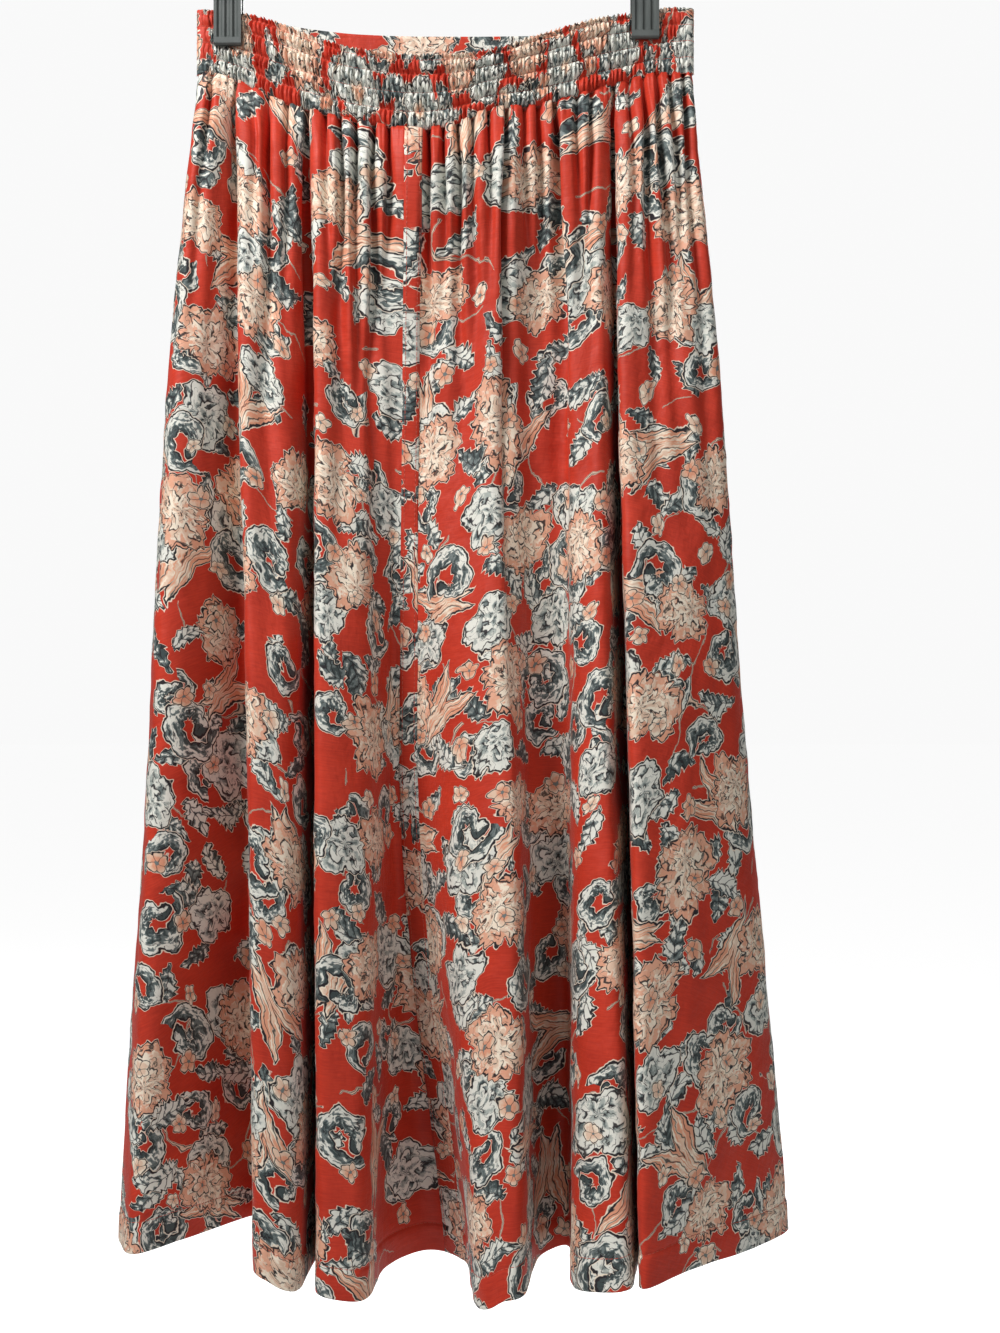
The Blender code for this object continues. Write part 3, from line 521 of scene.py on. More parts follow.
class Skirt:
    """The whole skirt as one grid of points: rows run down the fall, columns round the body."""

    def __init__(self):
        middle = (PLACKET_START + PLACKET_END) / 2
        right = column_turns(0, middle, FRONT_COLUMNS // 2)
        left = column_turns(middle, LEFT_TURN, FRONT_COLUMNS // 2)
        back = column_turns(LEFT_TURN, WHOLE_TURN, BACK_COLUMNS)
        self.turns = np.concatenate((right, left[1:], back[1:-1]))
        self.front_middle = len(right) - 1
        self.left_side = len(right) + len(left) - 2
        self.falls = fall_rows()
        ring = np.stack([walk(skirt_section(fall), self.turns) for fall in self.falls])
        self.ring = self.softened(ring)
        along = np.roll(self.ring, -1, axis=1) - np.roll(self.ring, 1, axis=1)
        self.outward = np.stack((along[..., 1], -along[..., 0]), axis=-1)
        self.outward /= np.linalg.norm(self.outward, axis=-1, keepdims=True)
        step = np.linalg.norm(self.ring - np.roll(self.ring, 1, axis=1), axis=-1)
        self.run = np.cumsum(step, axis=1) - step[:, :1]
        self.round = step.sum(axis=1, keepdims=True)
        self.down = self.drops()
        self.height = self.raised()
        self.points = self.placed(self.height)

    @staticmethod
    def softened(ring):
        """Blend each section along the cloth, so that folds have no flat sides."""
        reach = int(SOFTEN * 3)
        weights = np.exp(-0.5 * (np.arange(-reach, reach + 1) / SOFTEN) ** 2)
        weights /= weights.sum()
        out = np.zeros_like(ring)
        for shift, weight in zip(range(-reach, reach + 1), weights):
            out += weight * np.roll(ring, shift, axis=1)
        return out

    def on_front(self):
        """Whether each column is on the front."""
        return self.turns < LEFT_TURN

    def drops(self):
        """How far below the hook each point is."""
        across = walk(SEAM_SECTION, self.turns)[:, 0]
        seam = np.where(self.on_front(), waist("front_seam", across), waist("back_seam", across))
        bow = np.cos(np.pi / 2 * np.minimum(np.abs(across - WAIST_MIDDLE) / HALF_WAIST, 1.0))
        length = SIDE_LENGTH - np.where(self.on_front(), CENTRE_SHORTER * bow, 0.0)
        falls = self.falls[:, None]
        tuck = TUCK_UP * (1.0 - ease(TUCK_FALL, falls))
        return seam + WAIST_SEAM + length * falls - tuck

    def apart(self, turn):
        """Distance along the cloth from a turn's column to every point, less than 0 before it."""
        column = int(np.argmin(np.abs(self.turns - turn)))
        gap = self.run - self.run[:, column:column + 1]
        return (gap + self.round / 2) % self.round - self.round / 2

    def grooves(self, gathers):
        """Narrow troughs where the cloth is drawn together, which fade and widen downwards."""
        depth = np.zeros_like(self.run)
        for i, (turn, deep, run) in enumerate(gathers):
            if turn >= WHOLE_TURN:
                continue
            length = GROOVE_LONGER * run
            share = np.clip(self.falls / length, 0.0, 1.0)
            wander = 1.3 * np.sin(self.falls * 31 + 2.3 * i) * ease(0.05, self.falls)
            gap = self.apart(turn) - wander[:, None]
            width = GROOVE_WIDTH + GROOVE_WIDENS * self.falls
            fade = (1.0 - share) ** 0.8 * GROOVE_DEEP * deep
            depth -= fade[:, None] * np.exp(-(gap / width[:, None]) ** 2)
        # By the clips the front and the back lie close, so the troughs stay shallow there
        across = walk(SEAM_SECTION, self.turns)[:, 0]
        room = GROOVE_ROOM[0] + waist("front_gap", across) + waist("back_gap", across)
        room = room + GROOVE_ROOM[1] * ease(SWELL_FALL, self.falls)[:, None]
        return np.maximum(depth, -GROOVE_SHARE * room)

    def raised(self):
        """Height of gathers, creases, seams and hem over the plain folds."""
        falls = self.falls[:, None]
        gathers = main_gathers()
        height = GATHER_MORE * gather_height(gathers, self.turns, falls, GATHER_POINT, GATHER_SINK)
        fine = fine_gathers(gathers)
        height += gather_height(fine, self.turns, falls, FINE_POINT, FINE_SINK)
        height += self.grooves(gathers)
        for top_turn, bottom_turn, top, bottom, width, deep in CREASES:
            share = np.clip((self.falls - top) / (bottom - top), 0.0, 1.0)
            turn = top_turn + (bottom_turn - top_turn) * share + 0.05 * np.sin(9 * share + deep)
            place = np.stack([np.interp(t, self.turns, run) for t, run in zip(turn, self.run)])
            near = np.exp(-((self.run - place[:, None]) / width) ** 2)
            height += deep * near * (np.sin(np.pi * share) ** 0.7)[:, None]
        for fall, side, reach, deep in PLACKET_PUCKERS:
            edge = PLACKET_START if side < 0 else PLACKET_END
            away = (self.turns - edge) * side
            lean = falls - fall + 0.006 * away * side
            beside = ease(0.08, away + 0.06) * (1 - ease(reach, away))
            height += PUCKER_MORE * deep * beside * np.exp(-(lean / PUCKER_HALF) ** 2)
        for turn in (0.0, float(LEFT_TURN)):
            height -= SIDE_SEAM[0] * np.exp(-(self.apart(turn) / SIDE_SEAM[1]) ** 2)
        height -= TUCK_IN * (1.0 - ease(TUCK_FALL, falls))
        for high, waves, seed, grown in RUMPLES:
            height += high * rumple(self.run, self.down, waves, seed) * ease(grown, falls)
        return height + self.hem_height()

    def hem_height(self):
        """The turned hem: a doubled edge, a sunk row of stitches and faint puckers by it."""
        above = (1.0 - self.falls[:, None]) * SIDE_LENGTH
        doubled = HEM_SWELL * ease(HEM_EDGE, HEM_HEIGHT - above)
        sunk = -HEM_SINK[0] * np.exp(-((above - HEM_HEIGHT) / HEM_SINK[1]) ** 2)
        high, long, fade = HEM_PUCKER
        beside = np.exp(-((above - HEM_HEIGHT) / fade) ** 2)
        pucker = high * np.sin(2 * np.pi * self.run / long + 2.5 * np.sin(self.run / 31.0))
        return doubled + sunk + pucker * beside

    def placed(self, height):
        """Points in metres at a height over the plain folds."""
        return hung(self.ring + self.outward * height[..., None], self.down)

    def columns(self, name):
        """Columns of a panel, both of its edges with it."""
        spans = {
            "right": (0, self.front_middle),
            "left": (self.front_middle, self.left_side),
            "back": (self.left_side, len(self.turns)),
        }
        first, last = spans[name]
        return np.arange(first, last + 1) % len(self.turns)


def flat_layout(points, falls, waist_radius, length, middle):
    """Where each point of a flared panel lay on the flat cloth, in metres from its grain line."""
    run = runs(points)
    run -= run[:, middle:middle + 1]
    radius = waist_radius + falls[:, None] * length
    angle = run / radius
    # Each column lay on a straight ray of the flat cloth, however its rows are gathered
    free = falls > GATHERED_FALL
    slope, start = np.polyfit(falls[free], angle[free], 1)
    angle = slope * falls[:, None] + start
    return np.stack((radius * np.sin(angle), -radius * np.cos(angle)), axis=-1)


def new_piece(name, shape, finishes):
    """Turn a finished shape into a piece of the scene with its finishes."""
    mesh = bpy.data.meshes.new(name)
    shape.to_mesh(mesh)
    shape.free()
    for finish in finishes:
        mesh.materials.append(finish)
    piece = bpy.data.objects.new(name, mesh)
    bpy.context.scene.collection.objects.link(piece)
    return piece


def cloth_piece(name, points, flat, finishes, wall=PANEL_WALL, outward=(0, -1, 0), node=None):
    """A sheet of cloth from a grid of points, with its print laid flat and its own thickness.

    Flat has where each point lay in the printed cloth, and node the solid that the sheet dresses.
    """
    rows, columns = points.shape[:2]
    shape = bmesh.new()
    bmesh.ops.create_grid(shape, x_segments=columns - 1, y_segments=rows - 1, size=0.5)
    piece = new_piece(name, shape, finishes)
    mesh = piece.data
    grid = np.empty(len(mesh.vertices) * 3)
    mesh.vertices.foreach_get("co", grid)
    grid = grid.reshape(-1, 3)
    column = np.rint((grid[:, 0] + 0.5) * (columns - 1)).astype(int)
    row = np.rint((grid[:, 1] + 0.5) * (rows - 1)).astype(int)
    mesh.vertices.foreach_set("co", points[row, column].ravel())
    corner = np.empty(len(mesh.loops), int)
    mesh.loops.foreach_get("vertex_index", corner)
    layer = mesh.uv_layers.new(name="cloth")
    layer.data.foreach_set("uv", flat[row, column][corner].ravel())
    mesh.update()
    normal = np.empty(len(mesh.polygons) * 3)
    mesh.polygons.foreach_get("normal", normal)
    if (normal.reshape(-1, 3) * np.asarray(outward, float)).sum() < 0:
        mesh.flip_normals()
    mesh.shade_smooth()
    if wall:
        thick = piece.modifiers.new("wall", "SOLIDIFY")
        thick.thickness = wall
        thick.offset = -1.0
        thick.material_offset = len(finishes) - 1
    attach(piece, "root")
    if node:
        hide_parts(node)
    return piece


def stitches_along(path, outward, long, gap):
    """Places for stitches along a path of points in metres: middle, heading and outward way."""
    length = lengths(path)
    starts = np.arange(gap, length[-1] - long - gap, long + gap)

    def at(places, values):
        return np.stack([np.interp(places, length, values[:, k]) for k in range(3)], axis=1)

    start, end = at(starts, path), at(starts + long, path)
    return list(zip((start + end) / 2, end - start, at(starts + long / 2, outward)))


def thread_piece(name, stitches, finish):
    """A joined row of short thread stitches, each a small bar half sunk in the cloth."""
    shape = bmesh.new()
    for middle, heading, way in stitches:
        heading = Vector(heading)
        place = Matrix.Translation(Vector(middle) + Vector(way).normalized() * THREAD_THICK * 0.2)
        turn = heading.to_track_quat("Z", "Y").to_matrix().to_4x4()
        made = bmesh.ops.create_cone(
            shape, cap_ends=True, segments=THREAD_SIDES, radius1=THREAD_THICK * 0.5,
            radius2=THREAD_THICK * 0.5, depth=heading.length, matrix=place @ turn)
        for face in {face for vert in made["verts"] for face in vert.link_faces}:
            face.smooth = len(face.verts) == 4
    piece = new_piece(name, shape, (finish,))
    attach(piece, "root")
    return piece


def level_way(flat_way):
    """A level direction as one with three numbers."""
    return np.concatenate((flat_way, np.zeros(flat_way.shape[:-1] + (1,))), axis=-1)


def hem_pieces(skirt, panel, node, finish, thread):
    """The turned-in strip inside a panel's hem, and the row of stitches that holds it."""
    columns = skirt.columns(panel)
    hem = 1.0 - HEM_HEIGHT / SIDE_LENGTH
    first = int(np.argmin(np.abs(skirt.falls - hem)))
    rows = np.arange(first, len(skirt.falls))
    inner = skirt.placed(skirt.height - HEM_INSIDE)[rows][:, columns]
    flat = inner[..., (0, 2)] + np.array(PANEL_CUT[panel][1]) * 2
    outward = (0, -1, 0) if panel == "back" else (0, 1, 0)
    strip = cloth_piece(node + "_hem_turning", inner, flat, (finish,), wall=0, outward=outward)
    line = skirt.points[first][columns]
    way = level_way(skirt.outward[first][columns])
    seam = stitches_along(line, way, STITCH_LONG, STITCH_GAP)
    return [strip, thread_piece(node + "_hem_stitches", seam, thread)]


# How each skirt panel was cut, in metres: radius of its flare at the waist, and its place in
# the print
PANEL_CUT = {
    "right": (0.62, (0.31, 1.42)),
    "left": (0.62, (1.27, 1.05)),
    "back": (0.92, (2.61, 1.93)),
}
# Radius of a cut with no flare, and places of the other pieces in the print
STRAIGHT_CUT = 40.0
PLACKET_PRINT = (3.4, 2.2)
FRONT_BAND_PRINT = (4.4, 3.1)
BACK_BAND_PRINT = (5.3, 4.4)


def skirt_pieces(skirt, finishes, thread):
    """The two front panels and the back panel."""
    nodes = {"right": "skirt_front_right", "left": "skirt_front_left", "back": "skirt_back"}
    for panel, node in nodes.items():
        columns = skirt.columns(panel)
        points = skirt.points[:, columns]
        radius, away = PANEL_CUT[panel]
        middle = {"right": len(columns) - 1, "left": 0, "back": len(columns) // 2}[panel]
        flat = flat_layout(points, skirt.falls, radius, SIDE_LENGTH * MM, middle)
        outward = (0, 1, 0) if panel == "back" else (0, -1, 0)
        piece = cloth_piece(node + "_cloth", points, flat + np.array(away), finishes,
                            outward=outward, node=node)
        hem = hem_pieces(skirt, panel, node, finishes[0], thread)


def placket_piece(skirt, finishes, thread):
    """The strip down the front, laid on the panels with its edges pressed down."""
    inside = (skirt.turns >= PLACKET_START - 1e-6) & (skirt.turns <= PLACKET_END + 1e-6)
    columns = np.flatnonzero(inside)
    height = skirt.height[:, columns]
    edge = np.minimum(np.arange(len(columns)), np.arange(len(columns))[::-1])
    height = height + PLACKET_LIFT + (PLACKET_RAISE - PLACKET_LIFT) * ease(2.0, edge)
    plan = skirt.ring[:, columns] + skirt.outward[:, columns] * height[..., None]
    points = hung(plan, skirt.down[:, columns])
    middle = len(columns) // 2
    flat = flat_layout(points, skirt.falls, STRAIGHT_CUT, SIDE_LENGTH * MM, middle)
    flat = flat - flat[0, middle] + np.array(PLACKET_PRINT)
    piece = cloth_piece("front_placket_cloth", points, flat, finishes, wall=FINE_WALL,
                        node="front_placket")
    way = level_way(skirt.outward[:, columns])
    across = runs(points) / MM
    seams = []
    for at in (np.full(len(across), PLACKET_STITCH), across[:, -1] - PLACKET_STITCH):
        line = [[np.interp(a, row, spot[:, k]) for k in range(3)]
                for a, row, spot in zip(at, across, points)]
        seams += stitches_along(np.array(line), way[:, middle], STITCH_LONG, STITCH_GAP)
    rows = thread_piece("placket_stitches", seams, thread)


def waist_section():
    """Inner face of the waist as a loop, front first and then back round."""
    across = np.array(WAIST["across"], float)
    front = np.stack((across, -np.array(WAIST["front_gap"], float)), axis=1)
    back = np.stack((across, np.array(WAIST["back_gap"], float)), axis=1)[1:-1][::-1]
    corners = np.concatenate((front, back))
    return rounded_loop(corners, np.full(len(corners), float(BAND_CUT)))


WAIST_LOOP = waist_section()


def band_frame(turns):
    """Points and outward directions along the waist's inner face."""
    here = walk(WAIST_LOOP, turns)
    along = walk(WAIST_LOOP, turns + 0.02) - walk(WAIST_LOOP, turns - 0.02)
    outward = np.stack((along[..., 1], -along[..., 0]), axis=-1)
    return here, outward / np.linalg.norm(outward, axis=-1, keepdims=True)


def clip_free(across, below):
    """How far the band's puffs are free: 0 under a clip, 1 clear of it."""
    free = np.ones(np.broadcast(across, below).shape)
    for side, sign in (("right", -1), ("left", 1)):
        aside = np.abs(across - sign * CLIP_ACROSS) - CLIP_WIDTH / 2
        under = below + CLIP_BOTTOM[side]
        free = np.minimum(free, ease(5.0, np.maximum(aside, under) + 1.0))
    return free


def ruffle_waves(share, row, slant):
    """Phase and height of the ruffles along the band, unlike from row to row."""
    wander = sum(big * np.sin(share * waves + row * shift) for big, waves, shift in RUFFLE_WANDER)
    phase = 2 * np.pi * (share * RUFFLES + slant * 0.55) + wander
    # A slower wave makes some ruffles fuller than their neighbours
    slower = np.sin(phase * 0.53 + 1.9 * row + 0.8 * np.sin(phase * 0.11))
    return phase, 1.7 * np.abs(np.sin(phase / 2)) ** 0.8 - 1.0 + 0.3 * slower


def front_band_piece(finishes, thread):
    """The shirred band: rows of uneven ruffles between stitched elastic lines."""
    whole = len(WAIST["across"]) - 1 - 2 * BAND_END
    samples = BAND_END + whole * np.linspace(0, 1, BAND_SAMPLES)
    length = lengths(walk(WAIST_LOOP, samples))
    share = np.linspace(0, 1, RUFFLES * RUFFLE_COLUMNS + 1)[None, :]
    level = np.linspace(0, BAND_LEVELS, BAND_ROWS + 1)[:, None]
    pitch = 0.5 / RUFFLES
    away = np.minimum(1.0, np.minimum(share, 1 - share) / RUFFLE_FADE)
    slant = np.interp(level, range(len(ROW_SLANT)), ROW_SLANT)
    lines = np.array(SHIRR_LINES + (BAND_LEVELS + 1.5,))
    row = np.clip(np.searchsorted(lines, level, side="right") - 1, 0, len(lines) - 2)
    inside_row = (level - lines[row]) / (lines[row + 1] - lines[row])
    bulge = np.sin(np.pi * np.clip(inside_row, 0, 1)) ** 0.6
    phase, wave = ruffle_waves(share, row, slant)
    tall = 1.0 + 0.35 * np.sin(share * 97 + 1.7 * row)
    puff = bulge * (PUFF + RUFFLE * wave * tall) + (1 - bulge) * LINE_RUFFLE * wave - BAND_DRAWN_IN
    turns = np.interp((share + slant * pitch * 0.5 * away) * length[-1], length, samples)
    here, outward = band_frame(turns)
    top, seam = waist("front_top", here[..., 0]), waist("front_seam", here[..., 0])
    lift = 0.35 * np.sin(phase + 1.2) * bulge * away
    below = seam + (top - seam) * level / BAND_LEVELS + lift
    free = clip_free(here[..., 0], below)
    out = BAND_OUT + puff * free * away
    points = hung(here + outward * out[..., None], below)
    run = share * BAND_CLOTH[0] + 0.0006 * np.sin(phase * 0.31 + row)
    rise = np.broadcast_to(level / BAND_LEVELS * BAND_CLOTH[1], run.shape)
    flat = np.stack((run, rise), axis=-1) + np.array(FRONT_BAND_PRINT)
    piece = cloth_piece("waistband_front_cloth", points, flat, finishes, wall=FINE_WALL,
                        node="waistband_front")
    seams = []
    for line in SHIRR_LINES:
        near = int(np.argmin(np.abs(level[:, 0] - line)))
        seams += stitches_along(points[near], level_way(outward[near]), SHIRR_LONG, SHIRR_GAP)
    rows = thread_piece("waistband_shirring_threads", seams, thread)


def back_band_piece(finishes):
    """The smooth band behind, with a pressed fold along its top."""
    first = len(WAIST["across"]) - 1
    last = WAIST_LOOP[0][-1]
    turns = np.linspace(first + BAND_END, last - BAND_END, BACK_BAND_COLUMNS)[None, :]
    level = np.linspace(0, 1, BACK_BAND_ROWS)[:, None]
    here, outward = band_frame(np.broadcast_to(turns, (BACK_BAND_ROWS, BACK_BAND_COLUMNS)))
    seam, top = waist("back_seam", here[..., 0]), waist("back_top", here[..., 0])
    below = seam + (top - seam) * level
    hills = rumple(here[..., 0], below, (46, 23), 11)
    ripple = BACK_BAND_RIPPLE * hills * np.sin(np.pi * level)
    edge = BACK_BAND_EDGE * ease(0.08, level) * ease(0.06, 1.02 - level)
    out = BACK_BAND_OUT + edge + ripple * clip_free(here[..., 0], below)
    points = hung(here + outward * out[..., None], below)
    run = runs(points)
    rise = np.broadcast_to(level * BACK_BAND_CLOTH[1], run.shape)
    flat = np.stack((run, rise), axis=-1) + np.array(BACK_BAND_PRINT)
    piece = cloth_piece("waistband_back_cloth", points, flat, finishes, outward=(0, 1, 0),
                        wall=BACK_BAND_CLOTH_WALL, node="waistband_back")


class Num:
    """A number over the surface, as a shader socket that can be reckoned with."""

    def __init__(self, pen, socket):
        self.pen = pen
        self.socket = socket

    def __add__(self, other):
        return self.pen.math("ADD", self, other)

    def __mul__(self, other):
        return self.pen.math("MULTIPLY", self, other)

    def __sub__(self, other):
        return self.pen.math("SUBTRACT", self, other)

    def __rsub__(self, other):
        return self.pen.math("SUBTRACT", other, self)

    def __truediv__(self, other):
        return self.pen.math("DIVIDE", self, other)

    def __abs__(self):
        return self.pen.math("ABSOLUTE", self)

    __radd__ = __add__
    __rmul__ = __mul__


class Pen:
    """Lays shader nodes into a tree and hands back their outputs."""

    def __init__(self, tree):
        self.tree = tree

    def put(self, kind, inputs, output=0, **settings):
        """Add a node, set it up, feed its inputs and return one output."""
        node = self.tree.nodes.new("ShaderNode" + kind)
        for key, value in settings.items():
            setattr(node, key, value)
        for key, value in inputs.items():
            self.feed(node.inputs[key], value)
        return Num(self, node.outputs[output])

    def feed(self, socket, value):
        """Link or set one input."""
        if isinstance(value, Num):
            self.tree.links.new(value.socket, socket)
        else:
            socket.default_value = value

    def math(self, operation, *values):
        return self.put("Math", dict(enumerate(values)), operation=operation)

    def vector(self, operation, *values):
        return self.put("VectorMath", dict(enumerate(values)), operation=operation)

    def ramp(self, value, low, high):
        """0 at low and 1 at high, straight between and held outside."""
        inputs = {"Value": value, "From Min": low, "From Max": high}
        return self.put("MapRange", inputs)

    def scaled(self, value, by, plus):
        """A number times another, plus a third."""
        return self.math("MULTIPLY_ADD", value, by, plus)

    def blend(self, share, near, far):
        """Mix two colours."""
        return self.put("Mix", {0: share, 6: near, 7: far}, output=2, data_type="RGBA")

    def over(self, fill, color, value, low, high, strong=1.0):
        """Paint a colour over a fill as a value goes from low, where none of it is, to high."""
        share = self.ramp(value, low, high)
        return self.blend(share if strong == 1.0 else share * strong, fill, color)

    def bump(self, shader, height, strong, deep=0.0001):
        """Raise a shader's surface by a height over a depth in metres."""
        inputs = {"Height": height, "Distance": deep, "Strength": strong}
        self.feed(shader.inputs["Normal"], self.put("Bump", inputs))

    def parts(self, vector):
        """The three numbers of a vector."""
        node = self.tree.nodes.new("ShaderNodeSeparateXYZ")
        self.feed(node.inputs[0], vector)
        return [Num(self, socket) for socket in node.outputs]

    def join(self, x, y, z=0.0):
        return self.put("CombineXYZ", {0: x, 1: y, 2: z})

    def noise(self, vector, scale, detail=2.0, color=False, rough=0.5):
        inputs = {"Vector": vector, "Scale": scale, "Detail": detail, "Roughness": rough}
        return self.put("TexNoise", inputs, output=1 if color else 0, noise_dimensions="2D")


def new_group(name, inputs, outputs):
    """A node group with named sockets, and the pen that fills it."""
    tree = bpy.data.node_groups.new(name, "ShaderNodeTree")
    for label, kind in inputs:
        tree.interface.new_socket(label, in_out="INPUT", socket_type="NodeSocket" + kind)
    for label, kind in outputs:
        tree.interface.new_socket(label, in_out="OUTPUT", socket_type="NodeSocket" + kind)
    pen = Pen(tree)
    entry = tree.nodes.new("NodeGroupInput")
    leave = tree.nodes.new("NodeGroupOutput")
    return tree, pen, {s.name: Num(pen, s) for s in entry.outputs}, leave


# Colours of the print
GROUND = (0.58, 0.040, 0.015, 1)
GROUND_DEEP = (0.40, 0.022, 0.008, 1)
INK = (0.016, 0.012, 0.015, 1)
CREAM = (0.72, 0.51, 0.375, 1)
PALE_CREAM = (0.84, 0.72, 0.58, 1)
PEACH = (0.70, 0.31, 0.19, 1)
LIGHT_GREY = (0.38, 0.41, 0.375, 1)
WHITE_GREY = (0.72, 0.71, 0.64, 1)
MID_GREY = (0.145, 0.175, 0.17, 1)
DARK_GREEN = (0.045, 0.062, 0.062, 1)

# Other colours: the wrong side's paler print, sewing thread, plastic, wire and the room
WRONG_SIDE = (0.72, 0.46, 0.38, 1)
THREAD_DEEP = (0.34, 0.040, 0.026, 1)
THREAD_LIGHT = (0.66, 0.13, 0.075, 1)
PLASTIC_DEEP = (0.052, 0.060, 0.057, 1)
PLASTIC_LIGHT = (0.085, 0.095, 0.090, 1)
WIRE = (0.72, 0.73, 0.74, 1)
FLOOR_GREY = (0.8, 0.8, 0.8, 1)
WHITE = (1.0, 1.0, 1.0, 1)


# Tones of a bloom: deep, middle, light and pale, then the tips of its petals
WARM = (PEACH, CREAM, CREAM, PALE_CREAM, PEACH)
COOL = (DARK_GREEN, MID_GREY, LIGHT_GREY, WHITE_GREY, WHITE_GREY)
STROKE = 0.06


class Print:
    """The printed flowers and leaves: each layer has its own scatter of motifs.

    A layer has the size of its cells in millimetres, how far away in the scatter it is read,
    and the share of its motifs that are gone.
    """

    def __init__(self, pen, cloth):
        self.pen = pen
        millimetres = pen.vector("MULTIPLY", cloth, (1000.0, 1000.0, 0.0))
        wide = pen.noise(millimetres, 0.045, 1.0, color=True)
        fine = pen.noise(millimetres, 0.22, 1.0, color=True)
        bent = pen.put("VectorMath", {0: wide, 1: (11.0, 11.0, 0.0), 2: millimetres},
                       operation="MULTIPLY_ADD")
        self.place = pen.put("VectorMath", {0: fine, 1: (2.6, 2.6, 0.0), 2: bent},
                             operation="MULTIPLY_ADD")
        self.mottle = pen.noise(millimetres, 0.16, 3.0, rough=0.62)
        ground = pen.noise(millimetres, 0.03, 1.0)
        threads = pen.noise(pen.vector("MULTIPLY", millimetres, (0.09, 1.1, 0.0)), 1.0, 1.0)
        uneven = pen.scaled(threads, 0.9, ground * 0.9 - 0.4)
        self.color = pen.blend(uneven, GROUND, GROUND_DEEP)

    def scatter(self, cell, away, loose):
        """Local place in millimetres, turned at random, and three random numbers for each motif."""
        pen = self.pen
        spread = pen.put("VectorMath", {0: self.place, 1: (1 / cell, 1 / cell, 0.0),
                                        2: (away, away * 0.61, 0.0)}, operation="MULTIPLY_ADD")
        cells = pen.tree.nodes.new("ShaderNodeTexVoronoi")
        cells.voronoi_dimensions = "2D"
        cells.inputs["Scale"].default_value = 1.0
        cells.inputs["Randomness"].default_value = loose
        pen.feed(cells.inputs["Vector"], spread)
        chance = pen.parts(Num(pen, cells.outputs["Color"]))
        local = pen.vector("SUBTRACT", spread, Num(pen, cells.outputs["Position"]))
        local = pen.vector("MULTIPLY", local, (cell, cell, 0.0))
        turn = chance[0] * 37.7
        turned = pen.put("VectorRotate", {"Vector": local, "Angle": turn}, rotation_type="Z_AXIS")
        x, y, _ = pen.parts(turned)
        return x, y, chance

    def polar(self, x, y):
        pen = self.pen
        radius = pen.math("SQRT", pen.scaled(x, x, y * y))
        return radius, pen.math("ARCTAN2", y, x)

    def lay(self, edge, fill, outline=0.6, halo=1.3):
        """Lay a motif over the cloth: edge is millimetres outside its outline."""
        pen = self.pen
        self.color = pen.over(self.color, PALE_CREAM, edge, halo, halo - 0.4)
        self.color = pen.over(self.color, INK, edge, outline + 0.2, outline - 0.15)
        self.color = pen.over(self.color, fill, edge, -outline + 0.2, -outline - 0.2)

    def absent(self, chance, share):
        """A large distance where a motif is left out."""
        return self.pen.math("LESS_THAN", chance, share) * 60.0

    def hatched(self, fill, along, across, far):
        """Uneven pen strokes that run along a motif's own lines."""
        pen = self.pen
        field = pen.noise(pen.join(across, along, far), 1.0, 2.0)
        away = abs(field - 0.5) + self.mottle * 0.09
        return pen.over(fill, INK, away, STROKE + 0.011, STROKE - 0.011, 0.88)

    def stems(self):
        """Thin winding double-lined stems."""
        pen = self.pen
        field = pen.noise(self.place, 0.013, 0.0)
        edge = abs(field - 0.5) * 190.0 - 0.75
        where = pen.noise(self.place, 0.03, 0.0)
        edge = edge + pen.ramp(where, 0.50, 0.45) * 5.0
        self.lay(edge, CREAM, 0.3, 0.75)

    def leaves(self, cell, away, gone, half, wide):
        """Serrated leaves with a midrib and veins, grey-green or pale."""
        pen = self.pen
        x, y, chance = self.scatter(cell, away, 0.75)
        bent = pen.scaled(x * x, 0.016, y)
        share = x / half
        teeth = pen.math("PINGPONG", pen.scaled(abs(bent), 0.5, x), 2.6)
        lens = (1.0 - share * share) * wide
        edge = abs(bent) - lens - pen.scaled(teeth, 0.9, -1.1)
        edge = edge + self.absent(chance[1], gone)
        vein = pen.math("PINGPONG", pen.scaled(abs(bent), -0.9, x), 3.2)
        line = pen.math("MINIMUM", vein, abs(bent) * 1.2)
        tone = pen.scaled(self.mottle, 1.3, vein * 0.10)
        tone = tone + pen.scaled(chance[2], 0.34, bent * 0.03)
        fill = pen.over(DARK_GREEN, MID_GREY, tone, 0.72, 0.84)
        fill = pen.over(fill, WHITE_GREY, tone, 0.96, 1.06)
        fill = pen.over(fill, INK, line, 0.65, 0.2, 0.9)
        self.lay(edge, fill)

    def scrolls(self, cell, away, gone, size):
        """Curled leaves that wind in like a letter C, dark with pale strokes along them."""
        pen = self.pen
        x, y, chance = self.scatter(cell, away, 0.6)
        radius, angle = self.polar(x, y)
        middle = angle * (0.095 * size) + 0.56 * size
        lobes = abs(pen.math("SINE", angle * 3.5)) * 0.10
        half = pen.scaled(pen.math("COSINE", angle * 0.5), 0.17, 0.08)
        half = (half + lobes) * size
        aside = radius - middle
        edge = abs(aside) - half
        curl_x = x + 0.36 * size
        curl = pen.math("SQRT", pen.scaled(curl_x, curl_x, y * y)) - 0.22 * size
        edge = pen.math("MINIMUM", edge, curl) + self.absent(chance[1], gone)
        streak = pen.noise(pen.join(angle * 1.5, radius * 0.24, chance[2]), 1.9, 1.0)
        tone = pen.scaled(aside / half, 0.24, streak) + self.mottle * 0.45
        fill = pen.over(DARK_GREEN, MID_GREY, tone, 0.55, 0.65)
        fill = pen.over(fill, WHITE_GREY, tone, 0.74, 0.82)
        fill = self.hatched(fill, angle * 1.3, radius * 0.30, chance[2])
        self.lay(edge, fill)

